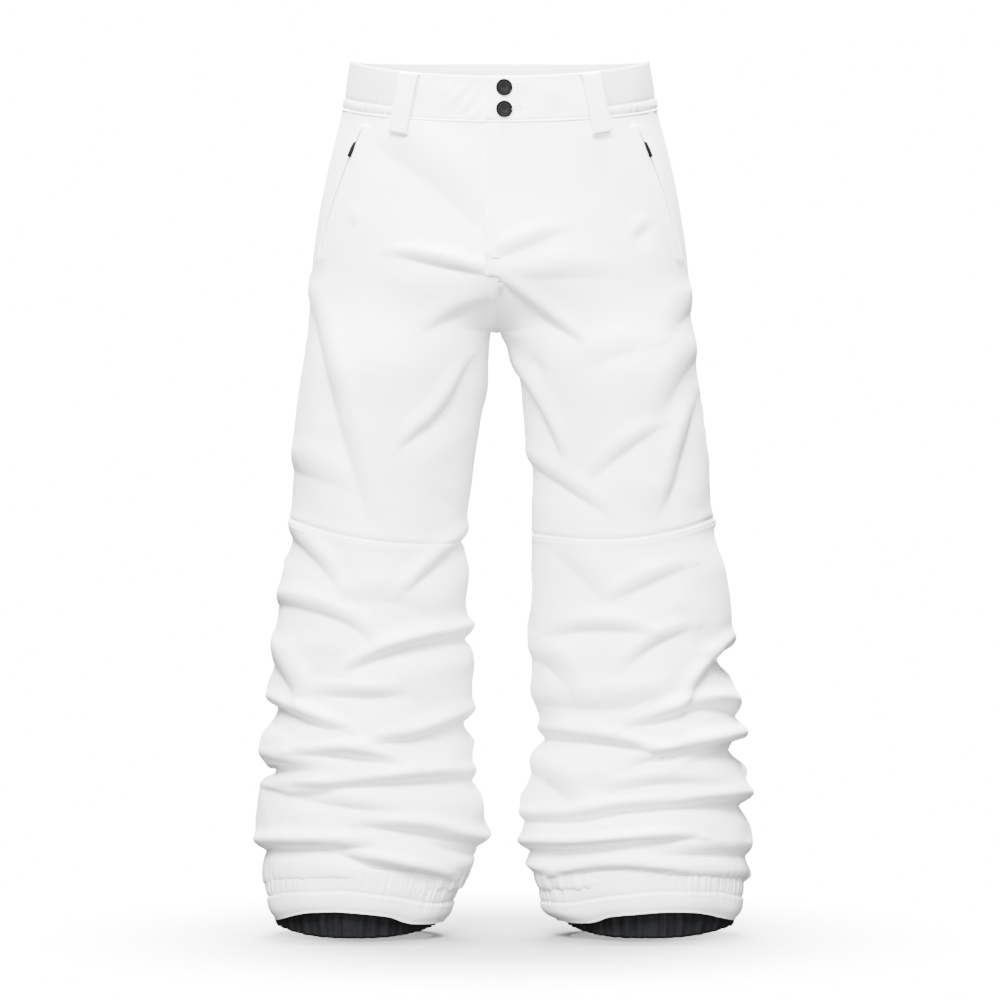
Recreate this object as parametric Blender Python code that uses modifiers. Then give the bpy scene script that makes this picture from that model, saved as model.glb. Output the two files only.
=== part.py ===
"""Ski pants, filled as if worn: waistband, fly, pockets, legs with hip and knee, cuffs and snow gaiters.

Metres, +Z up. The front faces -Y and the wearer's left is +X. The origin is the middle of the waist
opening, level with the top edge at the sides. "drop" is the distance below that level, and "w" is the
place around the waist: 0 at the centre front, 0.5 at the left side, 1 at the centre back, and negative
to the wearer's right.
"""

import math

import bmesh
import bpy
from mathutils import Matrix, Vector

# Cloth and clearances
SHELL = 0.0025  # outer cloth with its filling and lining
BAND_CLOTH = 0.0020
CORE_CLOTH = 0.0012  # rubber webbing
FACING_CLOTH = 0.0012
GAP = 0.0003  # between pieces that touch
SEAM = 0.0008  # between the edges of two panels, whose thickness may lean
HIP_SEAM = 0.0016

# Body of the pants: drop, half width, depth in front of the middle, depth behind it
TRUNK = (
    (-0.030, 0.1550, 0.1090, 0.1080),
    (0.000, 0.1580, 0.1110, 0.1110),
    (0.050, 0.1655, 0.1145, 0.1180),
    (0.100, 0.1780, 0.1185, 0.1270),
    (0.150, 0.1890, 0.1225, 0.1330),
    (0.200, 0.1965, 0.1265, 0.1365),
    (0.250, 0.2015, 0.1280, 0.1350),
    (0.320, 0.2090, 0.1260, 0.1300),
)
# Leg: drop, distance of its middle from the centre line, half width, half depth
LEG = (
    (0.210, 0.1000, 0.1010, 0.1160),
    (0.320, 0.1108, 0.0988, 0.1140),
    (0.380, 0.1190, 0.0965, 0.1060),
    (0.450, 0.1260, 0.0950, 0.1000),
    (0.500, 0.1300, 0.0945, 0.0960),
    (0.570, 0.1363, 0.1008, 0.0960),
    (0.640, 0.1393, 0.1078, 0.0950),
    (0.720, 0.1453, 0.1103, 0.0940),
    (0.800, 0.1410, 0.1190, 0.0930),
    (0.840, 0.1425, 0.1195, 0.0910),
    (0.865, 0.1455, 0.1105, 0.0860),
    (0.915, 0.1530, 0.0985, 0.0790),
    (0.960, 0.1530, 0.0960, 0.0770),
)
FRONT_DIP = 0.029  # the waist's top edge is lower at the centre front
BACK_RISE = 0.009
EDGE_FADE = 0.20  # the drop at which the dip and rise have gone
CROTCH_FROM = 0.220  # below this drop one trunk turns into two legs
CROTCH_TO = 0.2875  # the inner edges of a leg meet here
LEG_FROM = 0.340  # the outer side has its leg shape here

# Waistband
BAND_HEIGHT = 0.0505
JOIN_W = 0.225  # seam between the front part and the stretch part
BACK_JOIN_W = 0.75
LAP_W = -0.0253  # end of the left front part, which laps over the right one
UNDERLAP_W = 0.060
PIPING_HEIGHT = 0.003
PIPING_PROUD = 0.0012

# Panels, by drop
PANEL_TOP = BAND_HEIGHT + PIPING_HEIGHT + GAP + SEAM
YOKE_BOTTOM = 0.115
HIP_TOP = 0.225
THIGH_TOP = 0.385
KNEE_TOP = 0.480
SHIN_TOP = 0.700
CUFF_TOP = 0.865  # its upper half is gathered on elastic
HEM = 0.908
HEM_DROOP = 0.006  # the hem is lower at the inner leg
CUFF_CLOTH = 0.0035
GUSSET_TOP = 0.260
GUSSET_LOW = 0.2860

# Snow gaiter: drop, inset from the leg's outer face
GAITER = ((0.800, 0.0060), (0.860, 0.0070), (0.895, 0.0120), (0.926, 0.0200))
GAITER_CLOTH = 0.0015
GRIP_HEIGHT = 0.008
GRIP_CLOTH = 0.0025

# Joints
HIP_AXIS = Vector((0.0, 0.0, -0.200))
KNEE_AXIS = Vector((0.0, 0.0, -0.560))

# Belt loops
LOOP_WIDTH = 0.021
LOOP_CLOTH = 0.0018
LOOP_GAP = 0.0074  # room for the belt
LOOP_TOP = 0.002
LOOP_LENGTH = 0.064
LOOP_SLANT = math.radians(8)
LOOP_FRONT_W = 0.192
LOOP_BACK_W = 0.780

# Buttons and their tacks
BUTTON_W = 0.0084
BUTTON_SPREAD = (0.24, 0.47, 0.29)  # shares of the band's spare height: above, between, below
BUTTON_R = 0.0092
BUTTON_RIM = 0.0017
BUTTON_THICK = 0.0034
BUTTON_PROUD = 0.0010
SHANK_R = 0.0023
PIN_R = 0.00125
PIN_CLEARANCE = 0.00008
PIN_HOLE_R = 0.0017
PIN_HEAD_R = 0.0042
PIN_HEAD_THICK = 0.0008
BUTTONHOLE = (0.0240, 0.0052)
BUTTONHOLE_PAST = 0.0045  # the slit starts this far before the shank

# Zips
TOOTH_ROW = 0.0022  # width and thickness of one row of teeth
ROW_SLOT = 0.0010  # between the rows, where the slider's web runs
TAPE_WIDTH = 0.0050
TAPE_CLOTH = 0.0008
TAPE_PAST = 0.0040
ZIP_STOP = 0.0020  # the stop that joins the rows at the bottom
SLIDER_HALF_WIDTH = 0.0042
SLIDER_LENGTH = 0.0110
SLIDER_FROM_TOP = 0.0010
FRONT_PLATE = 0.0013
BACK_PLATE = 0.0010
WEB = 0.0006
STAPLE = (0.0007, 0.0013, 0.0011)  # half width, foot thickness, bar thickness
STAPLE_REACH = 0.0030
STAPLE_FROM = 0.0024
STAPLE_TO = 0.0096
PULL_BAR = 0.0011  # thickness of the pull, whose top bar sits in the staple
PULL_EYE = (0.0011, 0.0058)  # half width and length of the eye
POCKET_PULL = (0.0020, 0.0030, 0.0190)  # half width at the top and bottom, length
FLY_PULL = (0.0028, 0.0034, 0.0140)

# Pockets: (w, drop) at the zip's two ends
POCKET_TOP = (0.315, 0.0660)
POCKET_BOTTOM = (0.401, 0.2146)
POCKET_INSET = SHELL + 0.0033
POCKET_SLOT = 0.0056  # half width of the slit in the front panel
POCKET_HEAD = 0.0090  # slit left above the teeth
POCKET_FOOT = 0.0160  # and below them, where the pull lies when the slider is down
WELT_WIDTH = 0.0045
WELT_CLOTH = 0.0012
WELT_GAP = 0.0007  # the panel behind it is made of flats
BAG_INSET = 0.0140
BAG_CLOTH = 0.0020
BAG_W = (0.215, 0.455)
BAG_DROP = (0.0700, 0.3000)

# Fly
FLY_TOP = 0.0600
FLY_BOTTOM = 0.2120
FLY_W = -0.0050
FLY_INSET = 0.0118
FACING_W = (-0.0225, 0.0400)
SHIELD_W = (-0.0400, 0.0300)
SHIELD_INSET = 0.0168
BARTACK = (0.0090, 0.0024, 0.0010)

COLOURS = {
    "shell_cloth": ((0.86, 0.87, 0.88), 0.75, 0.0),
    "lining_cloth": ((0.70, 0.71, 0.73), 0.80, 0.0),
    "stretch_knit": ((0.72, 0.73, 0.74), 0.85, 0.0),
    "webbing": ((0.60, 0.60, 0.60), 0.70, 0.0),
    "gaiter_cloth": ((0.025, 0.026, 0.030), 0.80, 0.0),
    "grip_band": ((0.020, 0.020, 0.022), 0.60, 0.0),
    "button_metal": ((0.045, 0.045, 0.050), 0.38, 0.6),
    "tack_metal": ((0.45, 0.44, 0.42), 0.35, 1.0),
    "zip_tape": ((0.78, 0.79, 0.80), 0.80, 0.0),
    "zip_teeth": ((0.75, 0.76, 0.77), 0.45, 0.0),
    "zip_metal": ((0.30, 0.30, 0.32), 0.35, 0.9),
    "pull_plastic": ((0.040, 0.042, 0.046), 0.50, 0.0),
}


# ---- shape of the garment ----


def smooth(x):
    x = min(1.0, max(0.0, x))
    return x * x * (3 - 2 * x)


def along(keys, at):
    """Values at one drop, from a table whose first column is the drop."""
    if at <= keys[0][0]:
        return keys[0][1:]
    for low, high in zip(keys, keys[1:]):
        if at <= high[0]:
            t = (at - low[0]) / (high[0] - low[0])
            return tuple(a + (b - a) * t for a, b in zip(low[1:], high[1:]))
    return keys[-1][1:]


def trunk_point(u, drop):
    width, front, back = along(TRUNK, drop)
    turn = math.pi * u
    depth = front if u < 0.5 else back
    ahead = math.cos(turn)
    rise = BACK_RISE * max(0.0, -ahead) ** 1.5 - FRONT_DIP * max(0.0, ahead) ** 1.2
    fade = 1 - smooth(drop / EDGE_FADE)
    return Vector((width * math.sin(turn), -depth * ahead, rise * fade - drop))


def leg_point(u, drop):
    middle, width, depth = along(LEG, drop)
    turn = 2 * math.pi * u
    return Vector((middle - width * math.cos(turn), -depth * math.sin(turn), -drop))


def side_point(u, drop):
    """Outer face of the left half: u runs from the centre front (or inseam) to the centre back."""
    inner = min(1.0, max(0.0, (drop - CROTCH_FROM) / (CROTCH_TO - CROTCH_FROM)))
    outer = smooth((drop - CROTCH_FROM) / (LEG_FROM - CROTCH_FROM))
    from_edge = abs(math.sin(math.pi * u)) ** 0.7
    t = (1 - math.sqrt(1 - inner**2)) * (1 - from_edge) + outer * from_edge
    if t <= 0:
        point = trunk_point(u, drop)
    elif t >= 1:
        point = leg_point(u, drop)
    else:
        point = trunk_point(u, drop).lerp(leg_point(u, drop), t)
    point.x = max(point.x, GAP / 2)
    return point


def outline_point(w, drop):
    """Outer face at any place around the trunk, across the centre lines too."""
    w = (w + 1) % 2 - 1
    point = trunk_point(abs(w), drop)
    return Vector((math.copysign(point.x, w), point.y, point.z))


def normal_at(surface, a, drop):
    step = 0.002
    across = surface(a + step, drop) - surface(a - step, drop)
    down = surface(a, drop + step) - surface(a, drop - step)
    return down.cross(across).normalized()


def inset_point(surface, a, drop, inset):
    if inset == 0:
        return surface(a, drop)
    return surface(a, drop) - normal_at(surface, a, drop) * inset


def frame_at(w, drop, inset=0.0):
    """A place on the trunk: X along the waist, -Y outwards, Z up."""
    out = normal_at(outline_point, w, drop)
    up = outline_point(w, drop - 0.01) - outline_point(w, drop + 0.01)
    return frame(inset_point(outline_point, w, drop, inset), out, up)


def frame(origin, out, up):
    up = up.normalized()
    out = (out - up * out.dot(up)).normalized()
    sideways = (-out).cross(up)
    turn = Matrix((sideways, -out, up)).transposed()
    return Matrix.Translation(origin) @ turn.to_4x4()


# ---- making objects ----


def reset():
    for item in list(bpy.data.objects):
        bpy.data.objects.remove(item, do_unlink=True)


def collection(name):
    made = bpy.data.collections.new(name)
    bpy.context.scene.collection.children.link(made)
    return made


def material(name):
    made = bpy.data.materials.get(name)
    if made is None:
        colour, rough, metal = COLOURS[name]
        made = bpy.data.materials.new(name)
        made.use_nodes = True
        shader = made.node_tree.nodes["Principled BSDF"]
        shader.inputs["Base Color"].default_value = (*colour, 1)
        shader.inputs["Roughness"].default_value = rough
        shader.inputs["Metallic"].default_value = metal
        made.diffuse_color = (*colour, 1)
    return made


def add(name, data, finish, place=None):
    item = bpy.data.objects.new(name, data)
    PARTS.objects.link(item)
    data.materials.append(material(finish))
    if place is not None:
        item.matrix_world = place
    return item


def mesh_from(bm, name):
    mesh = bpy.data.meshes.new(name)
    bm.to_mesh(mesh)
    bm.free()
    return mesh


def cloth(name, finish, rows, thickness, mirrored=False, closed=False, pivot=None):
    """A sheet through rows of points on its outer face, thickened inwards."""
    pivot = pivot or Vector((0, 0, 0))
    bm = bmesh.new()
    grid = []
    for row in rows:
        placed = [Vector((-p.x if mirrored else p.x, p.y, p.z)) - pivot for p in row]
        grid.append([bm.verts.new(p) for p in placed])
    columns = len(grid[0])
    for upper, lower in zip(grid, grid[1:]):
        for c in range(columns if closed else columns - 1):
            d = (c + 1) % columns
            corners = (upper[c], lower[c], lower[d], upper[d])
            bm.faces.new(reversed(corners) if mirrored else corners)
    item = add(name, mesh_from(bm, name), finish)
    item.location = pivot
    wall = item.modifiers.new("thickness", "SOLIDIFY")
    wall.thickness = thickness
    wall.offset = -1
    return item


def rows_of(surface, across, drops, inset=0.0):
    """Points on a surface. inset and each end of drops may depend on the place across."""
    count = drops[2]
    found = []
    for r in range(count + 1):
        row = []
        for a in across:
            top = drops[0](a) if callable(drops[0]) else drops[0]
            low = drops[1](a) if callable(drops[1]) else drops[1]
            depth = inset(a) if callable(inset) else inset
            row.append(inset_point(surface, a, top + (low - top) * r / count, depth))
        found.append(row)
    return found


def spaced(start, end, count):
    return [start + (end - start) * i / count for i in range(count + 1)]


def box(name, low, high):
    """A box mesh between two corners."""
    bm = bmesh.new()
    bmesh.ops.create_cube(bm, size=1)
    low = Vector(low)
    high = Vector(high)
    for vert in bm.verts:
        vert.co = Vector(a * b for a, b in zip(vert.co, high - low)) + (low + high) / 2
    return mesh_from(bm, name)


def plate(name, finish, outlines, thickness, place):
    """A flat outline, with holes if there are more, in the X and Z of a place."""
    curve = bpy.data.curves.new(name, "CURVE")
    curve.dimensions = "2D"
    curve.fill_mode = "BOTH"
    curve.extrude = thickness / 2
    for outline in outlines:
        spline = curve.splines.new("POLY")
        spline.points.add(len(outline) - 1)
        for point, (x, y) in zip(spline.points, outline):
            point.co = (x, y, 0, 1)
        spline.use_cyclic_u = True
    return add(name, curve, finish, place)


FACE_ON = Matrix(((1, 0, 0, 0), (0, 0, -1, 0), (0, 1, 0, 0), (0, 0, 0, 1)))
EDGE_ON = Matrix(((0, 0, -1, 0), (-1, 0, 0, 0), (0, 1, 0, 0), (0, 0, 0, 1)))


def turned(name, finish, profile, steps, place):
    """A profile of (radius, height) turned about the height axis."""
    bm = bmesh.new()
    verts = [bm.verts.new((r, 0, h)) for r, h in profile]
    for a, b in zip(verts, verts[1:]):
        bm.edges.new((a, b))
    item = add(name, mesh_from(bm, name), finish, place)
    screw = item.modifiers.new("turn", "SCREW")
    screw.steps = steps
    screw.render_steps = steps
    screw.use_merge_vertices = True
    screw.merge_threshold = 0.00001
    screw.use_smooth_shade = True
    return item


def cut(item, name, mesh, place):
    """Cuts a mesh out of an object."""
    cutter = bpy.data.objects.new(name, mesh)
    CUTTERS.objects.link(cutter)
    cutter.matrix_world = place
    cutter.display_type = "WIRE"
    cutter.hide_render = True
    hole = item.modifiers.new(name, "BOOLEAN")
    hole.operation = "DIFFERENCE"
    hole.solver = "EXACT"
    hole.object = cutter
    return cutter


def join_solids(name, finish, meshes, place):
    """One body from several boxes that overlap, by Boolean union."""
    item = add(name, meshes[0], finish, place)
    for number, mesh in enumerate(meshes[1:]):
        tool = bpy.data.objects.new(f"{name}_tool_{number}", mesh)
        CUTTERS.objects.link(tool)
        tool.matrix_world = place
        tool.display_type = "WIRE"
        tool.hide_render = True
        union = item.modifiers.new(tool.name, "BOOLEAN")
        union.operation = "UNION"
        union.solver = "EXACT"
        union.object = tool
    return item


# ---- waistband ----


def waistband():
    ends = (0.0, BAND_HEIGHT, 2)
    under = BAND_CLOTH + 2 * GAP

    def tucked(w):
        return under * smooth((w - LAP_W * 2) / (0.6 * -LAP_W))

    left = cloth(
        "waistband_front_left",
        "shell_cloth",
        rows_of(outline_point, spaced(LAP_W, JOIN_W - 0.001, 12), ends),
        BAND_CLOTH,
    )
    right = cloth(
        "waistband_front_right",
        "shell_cloth",
        rows_of(outline_point, spaced(-JOIN_W + 0.001, UNDERLAP_W, 16), ends, tucked),
        BAND_CLOTH,
    )
    for side, name in ((1, "left"), (-1, "right")):
        places = [side * w for w in spaced(JOIN_W, BACK_JOIN_W - 0.001, 12)]
        places = places if side > 0 else places[::-1]
        core = (BAND_CLOTH + GAP, (0.006, BAND_HEIGHT - 0.006, 2))
        cloth(f"elastic_casing_{name}", "stretch_knit", rows_of(outline_point, places, ends), BAND_CLOTH)
        cloth(
            f"elastic_core_{name}",
            "webbing",
            rows_of(outline_point, places[1:-1], core[1], core[0]),
            CORE_CLOTH,
        )
    cloth(
        "waistband_back",
        "shell_cloth",
        rows_of(outline_point, spaced(BACK_JOIN_W, 2 - BACK_JOIN_W, 12), ends),
        BAND_CLOTH,
    )
    facing = BAND_CLOTH + CORE_CLOTH + 3 * GAP
    cloth(
        "waistband_facing",
        "lining_cloth",
        rows_of(outline_point, spaced(UNDERLAP_W + 0.012, 2 + 2.4 * LAP_W, 32), ends, facing),
        FACING_CLOTH,
    )
    piping = (BAND_HEIGHT + GAP, BAND_HEIGHT + GAP + PIPING_HEIGHT, 1)
    cloth(
        "waistband_piping",
        "shell_cloth",
        rows_of(outline_point, spaced(LAP_W, 2 + LAP_W - 0.002, 40), piping, -PIPING_PROUD),
        BAND_CLOTH + PIPING_PROUD,
    )
    return left, right


def belt_loops():
    """A strap with its two ends turned in, so that a belt fits behind it."""
    out = LOOP_GAP + LOOP_CLOTH
    outline = [
        (GAP * 2, 0),
        (out, 0),
        (out, -LOOP_LENGTH),
        (PIPING_PROUD + GAP * 3, -LOOP_LENGTH),
        (PIPING_PROUD + GAP * 3, -LOOP_LENGTH + LOOP_CLOTH),
        (LOOP_GAP, -LOOP_LENGTH + LOOP_CLOTH),
        (LOOP_GAP, -LOOP_CLOTH),
        (GAP * 2, -LOOP_CLOTH),
    ]
    places = {
        "front_left": (LOOP_FRONT_W, LOOP_SLANT),
        "front_right": (-LOOP_FRONT_W, -LOOP_SLANT),
        "back_left": (LOOP_BACK_W, 0),
        "back_right": (-LOOP_BACK_W, 0),
    }
    for name, (w, slant) in places.items():
        place = frame_at(w, LOOP_TOP) @ lean_of_loop(w) @ Matrix.Rotation(-slant, 4, "Y")
        plate(f"belt_loop_{name}", "shell_cloth", [outline], LOOP_WIDTH, place @ EDGE_ON)


def lean_of_loop(w):
    """Tilt and shift that keep a straight strap clear of the curved band behind it."""
    start = frame_at(w, LOOP_TOP)
    worst = 0.0
    for half in (-LOOP_WIDTH / 2, 0, LOOP_WIDTH / 2):
        for step in range(9):
            sample = start @ Vector((half, 0, -LOOP_LENGTH * step / 8))
            nearest = nearest_depth(start, sample, w)
            worst = max(worst, nearest)
    return Matrix.Translation((0, -worst, 0))


def nearest_depth(start, sample, w):
    """How far the trunk's face stands out past a point, along the start frame's outward axis."""
    inverse = start.inverted()
    local = inverse @ sample
    best = None
    for k in range(-12, 13):
        point = inverse @ outline_point(w + k * 0.004, LOOP_TOP - local.z)
        if best is None or abs(point.x - local.x) < abs(best.x - local.x):
            best = point
    return max(0.0, local.y - best.y)


# ---- buttons ----


def button_profile():
    """Domed rim, a groove, a raised ring, a dimple, and a hollow shank behind."""
    reach = BUTTON_THICK + BUTTON_PROUD
    back = BUTTON_PROUD
    bore = PIN_R + PIN_CLEARANCE
    foot = -(BAND_CLOTH + GAP)
    return [
        (0, reach - 0.0010),
        (0.0014, reach - 0.0008),
        (0.0024, reach - 0.0001),
        (0.0040, reach),
        (0.0056, reach - 0.0004),
        (0.0062, reach - 0.0011),
        (0.0068, reach - 0.0006),
        (BUTTON_R - 0.0010, reach - 0.0004),
        (BUTTON_R, reach - 0.0014),
        (BUTTON_R, back + 0.0006),
        (BUTTON_R - 0.0006, back),
        (SHANK_R, back),
        (SHANK_R, foot),
        (bore, foot),
        (bore, back + 0.0008),
        (0, back + 0.0008),
    ]


def button_drops():
    """Drops of the two button centres, spread over the band's height."""
    spare = BAND_HEIGHT - 4 * BUTTON_R
    above, between, _ = BUTTON_SPREAD
    top = above * spare + BUTTON_R
    return top, top + between * spare + 2 * BUTTON_R


def buttons(left_band, right_band):
    for name, drop in zip(("top", "low"), button_drops()):
        place = frame_at(BUTTON_W, drop)
        turned(f"waist_button_{name}", "button_metal", button_profile(), 20, place @ FACE_ON)
        turned(f"button_tack_{name}", "tack_metal", tack_profile(), 16, place @ FACE_ON)
        width, height = BUTTONHOLE
        far = width - BUTTONHOLE_PAST
        slit = box("slit", (-BUTTONHOLE_PAST, -0.01, -height / 2), (far, 0.01, height / 2))
        cut(left_band, f"buttonhole_{name}", slit, place)
        bm = bmesh.new()
        bmesh.ops.create_cone(
            bm, cap_ends=True, segments=16, radius1=PIN_HOLE_R, radius2=PIN_HOLE_R, depth=0.02
        )
        cut(right_band, f"pin_hole_{name}", mesh_from(bm, "pin_hole"), place @ FACE_ON)


def tack_profile():
    """A flat head behind the under band and a pin that goes into the shank."""
    behind = -(2 * BAND_CLOTH + 3 * GAP)
    tip = BUTTON_PROUD + 0.0004
    return [
        (0, tip),
        (PIN_R, tip - 0.0003),
        (PIN_R, behind),
        (PIN_HEAD_R, behind),
        (PIN_HEAD_R, behind - PIN_HEAD_THICK),
        (0, behind - PIN_HEAD_THICK),
    ]


# ---- zips ----


def zip_assembly(name, place, length, pull):
    """Two rows of teeth, their tapes, a slider captive on the rows and its pull. Z runs up the zip."""
    half = TOOTH_ROW / 2
    inner = ROW_SLOT / 2
    outer = inner + TOOTH_ROW
    rows = horseshoe(inner, outer, 0, -length, -length - ZIP_STOP)
    plate(f"{name}_zip_teeth", "zip_teeth", [rows], TOOTH_ROW, place @ FACE_ON)
    tape_in = outer + GAP
    tape_foot = -length - ZIP_STOP - GAP
    tapes = horseshoe(tape_in, tape_in + TAPE_WIDTH, TAPE_PAST, tape_foot, tape_foot - TAPE_PAST)
    plate(f"{name}_zip_tapes", "zip_tape", [tapes], TAPE_CLOTH, place @ FACE_ON)
    slider = place @ Matrix.Translation((0, 0, -SLIDER_FROM_TOP))
    zip_slider(f"{name}_zip_slider", slider, half + GAP)
    zip_pull(f"{name}_zip_pull", slider @ Matrix.Translation(pull_axis()), pull)


def horseshoe(inner, outer, top, crotch, bottom):
    """Outline of two arms that are joined at the bottom."""
    return [
        (-outer, top),
        (-inner, top),
        (-inner, crotch),
        (inner, crotch),
        (inner, top),
        (outer, top),
        (outer, bottom),
        (-outer, bottom),
    ]


def pull_axis():
    face = TOOTH_ROW / 2 + GAP + FRONT_PLATE
    room = STAPLE_REACH - STAPLE[2]
    return Vector((0, -face - room / 2, -STAPLE_FROM - STAPLE[1] - PULL_BAR))


def zip_slider(name, place, clear):
    face = -clear - FRONT_PLATE
    reach = face - STAPLE_REACH
    half, foot, bar = STAPLE
    front = box("front", (-SLIDER_HALF_WIDTH, face, -SLIDER_LENGTH), (SLIDER_HALF_WIDTH, -clear, 0))
    low = (-SLIDER_HALF_WIDTH, clear, -SLIDER_LENGTH)
    back = box("back", low, (SLIDER_HALF_WIDTH, clear + BACK_PLATE, 0))
    web = box("web", (-WEB / 2, -clear - GAP, -SLIDER_LENGTH + GAP), (WEB / 2, clear + GAP, -GAP))
    upper = box("upper", (-half, reach, -STAPLE_FROM - foot), (half, face + GAP, -STAPLE_FROM))
    lower = box("lower", (-half, reach, -STAPLE_TO), (half, face + GAP, -STAPLE_TO + foot))
    arch = box(
        "arch",
        (-half * 0.98, reach - GAP / 10, -STAPLE_TO + foot / 2),
        (half * 0.98, reach + bar, -STAPLE_FROM - foot / 2),
    )
    join_solids(name, "zip_metal", [front, web, back, upper, lower, arch], place)


def zip_pull(name, place, size):
    """A tapered tab with an eye at the top. Its origin is on the hinge."""
    top, bottom, length = size
    eye_half, eye_length = PULL_EYE
    edge = PULL_BAR / 2
    corner = 0.3 * bottom
    outline = [
        (-top, edge),
        (top, edge),
        (bottom, -length + corner),
        (bottom - corner * 0.3, -length + corner * 0.3),
        (bottom - corner, -length),
        (corner - bottom, -length),
        (corner * 0.3 - bottom, -length + corner * 0.3),
        (-bottom, -length + corner),
    ]
    foot = -edge - eye_length
    eye = [(-eye_half, -edge), (eye_half, -edge), (eye_half, foot), (-eye_half, foot)]
    plate(name, "pull_plastic", [outline, eye], PULL_BAR, place @ FACE_ON)


def zip_frame(start, end, inset):
    """Place of a straight zip between two (w, drop) points, at its top end."""
    top = outline_point(*start)
    bottom = outline_point(*end)
    middle = ((start[0] + end[0]) / 2, (start[1] + end[1]) / 2)
    out = normal_at(outline_point, *middle)
    place = frame(top, out, top - bottom)
    sunk = 0.0
    inverse = place.inverted()
    for step in range(9):
        t = step / 8
        w = start[0] + (end[0] - start[0]) * t
        drop = start[1] + (end[1] - start[1]) * t
        sunk = max(sunk, (inverse @ outline_point(w, drop)).y)
    shift = inset + sunk
    return place @ Matrix.Translation((0, shift, 0)), (top - bottom).length


# ---- pockets ----


def pocket(side, name, panel):
    start = (side * POCKET_TOP[0], POCKET_TOP[1])
    end = (side * POCKET_BOTTOM[0], POCKET_BOTTOM[1])
    place, length = zip_frame(start, end, POCKET_INSET)
    start_of_zip = place @ Matrix.Translation((0, 0, -POCKET_HEAD))
    zip_assembly(f"pocket_{name}", start_of_zip, length - POCKET_HEAD - POCKET_FOOT, POCKET_PULL)
    slot = box("slot", (-POCKET_SLOT, -0.03, -length - 0.002), (POCKET_SLOT, 0.03, 0.002))
    cut(panel, f"pocket_slot_{name}", slot, place)
    welt(name, start, end)
    bag_rows = rows_of(trunk_point, spaced(*BAG_W, 8), (*BAG_DROP, 6), BAG_INSET)
    cloth(f"pocket_bag_{name}", "lining_cloth", bag_rows, BAG_CLOTH, mirrored=side < 0)


def welt(name, start, end):
    """Frame of cloth around the slit: two long lips and two short ends."""
    ring_in = POCKET_SLOT + GAP
    ring_out = ring_in + WELT_WIDTH
    top = outline_point(*start)
    bottom = outline_point(*end)
    length = (top - bottom).length
    steps = 10

    def on_trunk(sideways, down):
        t = down / length
        w = start[0] + (end[0] - start[0]) * t
        drop = start[1] + (end[1] - start[1]) * t
        step = 0.002
        across = (outline_point(w + step, drop) - outline_point(w - step, drop)).length / (2 * step)
        place = inset_point(outline_point, w + sideways / across, drop, -WELT_CLOTH - WELT_GAP)
        return place

    low = -0.002 - GAP
    high = length + 0.002 + GAP
    inner = [(-ring_in, low + (high - low) * s / steps) for s in range(steps + 1)]
    inner += [(ring_in, high - (high - low) * s / steps) for s in range(steps + 1)]
    outer = []
    for sideways, down in inner:
        past = WELT_WIDTH if down in (low, high) else 0
        outer.append((math.copysign(ring_out, sideways), down + math.copysign(past, down)))
    bm = bmesh.new()
    inside = [bm.verts.new(on_trunk(*p)) for p in inner]
    outside = [bm.verts.new(on_trunk(*p)) for p in outer]
    count = len(inner)
    for s in range(count):
        t = (s + 1) % count
        bm.faces.new((outside[s], outside[t], inside[t], inside[s]))
    item = add(f"pocket_{name}_welt", mesh_from(bm, name), "shell_cloth")
    wall = item.modifiers.new("thickness", "SOLIDIFY")
    wall.thickness = WELT_CLOTH
    wall.offset = -1


# ---- fly ----


def fly():
    place, length = zip_frame((FLY_W, FLY_TOP), (FLY_W, FLY_BOTTOM), FLY_INSET)
    zip_assembly("fly", place, length, FLY_PULL)
    ends = (PANEL_TOP + 0.001, FLY_BOTTOM + 0.006, 5)
    facing_rows = rows_of(outline_point, spaced(*FACING_W, 5), ends, SHELL + SEAM)
    cloth("fly_facing", "lining_cloth", facing_rows, FACING_CLOTH)
    shield_rows = rows_of(outline_point, spaced(*SHIELD_W, 5), ends, SHIELD_INSET)
    cloth("fly_shield", "lining_cloth", shield_rows, FACING_CLOTH)
    width, height, thick = BARTACK
    spot = frame_at(-0.008, FLY_BOTTOM + 0.004)
    face = GAP + 0.0004
    bar = box("bar", (-width / 2, -face - thick, -height / 2), (width / 2, -face, height / 2))
    add("fly_bartack", bar, "shell_cloth", spot)


# ---- panels ----


def trunk_panels():
    """Front panels meet at the fly edge. Back panels meet at the centre, under the yoke."""
    fronts = {}
    drops = (PANEL_TOP, HIP_TOP - HIP_SEAM, 5)
    lap = LAP_W
    left = rows_of(outline_point, spaced(lap, 0.4995, 12), drops)
    right = rows_of(outline_point, spaced(-0.4995, lap - 0.001, 12), drops)
    fronts["left"] = cloth("front_panel_left", "shell_cloth", left, SHELL)
    fronts["right"] = cloth("front_panel_right", "shell_cloth", right, SHELL)
    below = (YOKE_BOTTOM + SEAM, HIP_TOP - HIP_SEAM, 4)
    for side, name in ((1, "left"), (-1, "right")):
        rows = rows_of(trunk_point, spaced(0.502, 0.9995, 8), below)
        cloth(f"back_panel_{name}", "shell_cloth", rows, SHELL, mirrored=side < 0)
    yoke = rows_of(outline_point, spaced(0.502, 1.498, 16), (PANEL_TOP, YOKE_BOTTOM, 2))
    cloth("back_yoke", "shell_cloth", yoke, SHELL)
    return fronts


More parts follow.
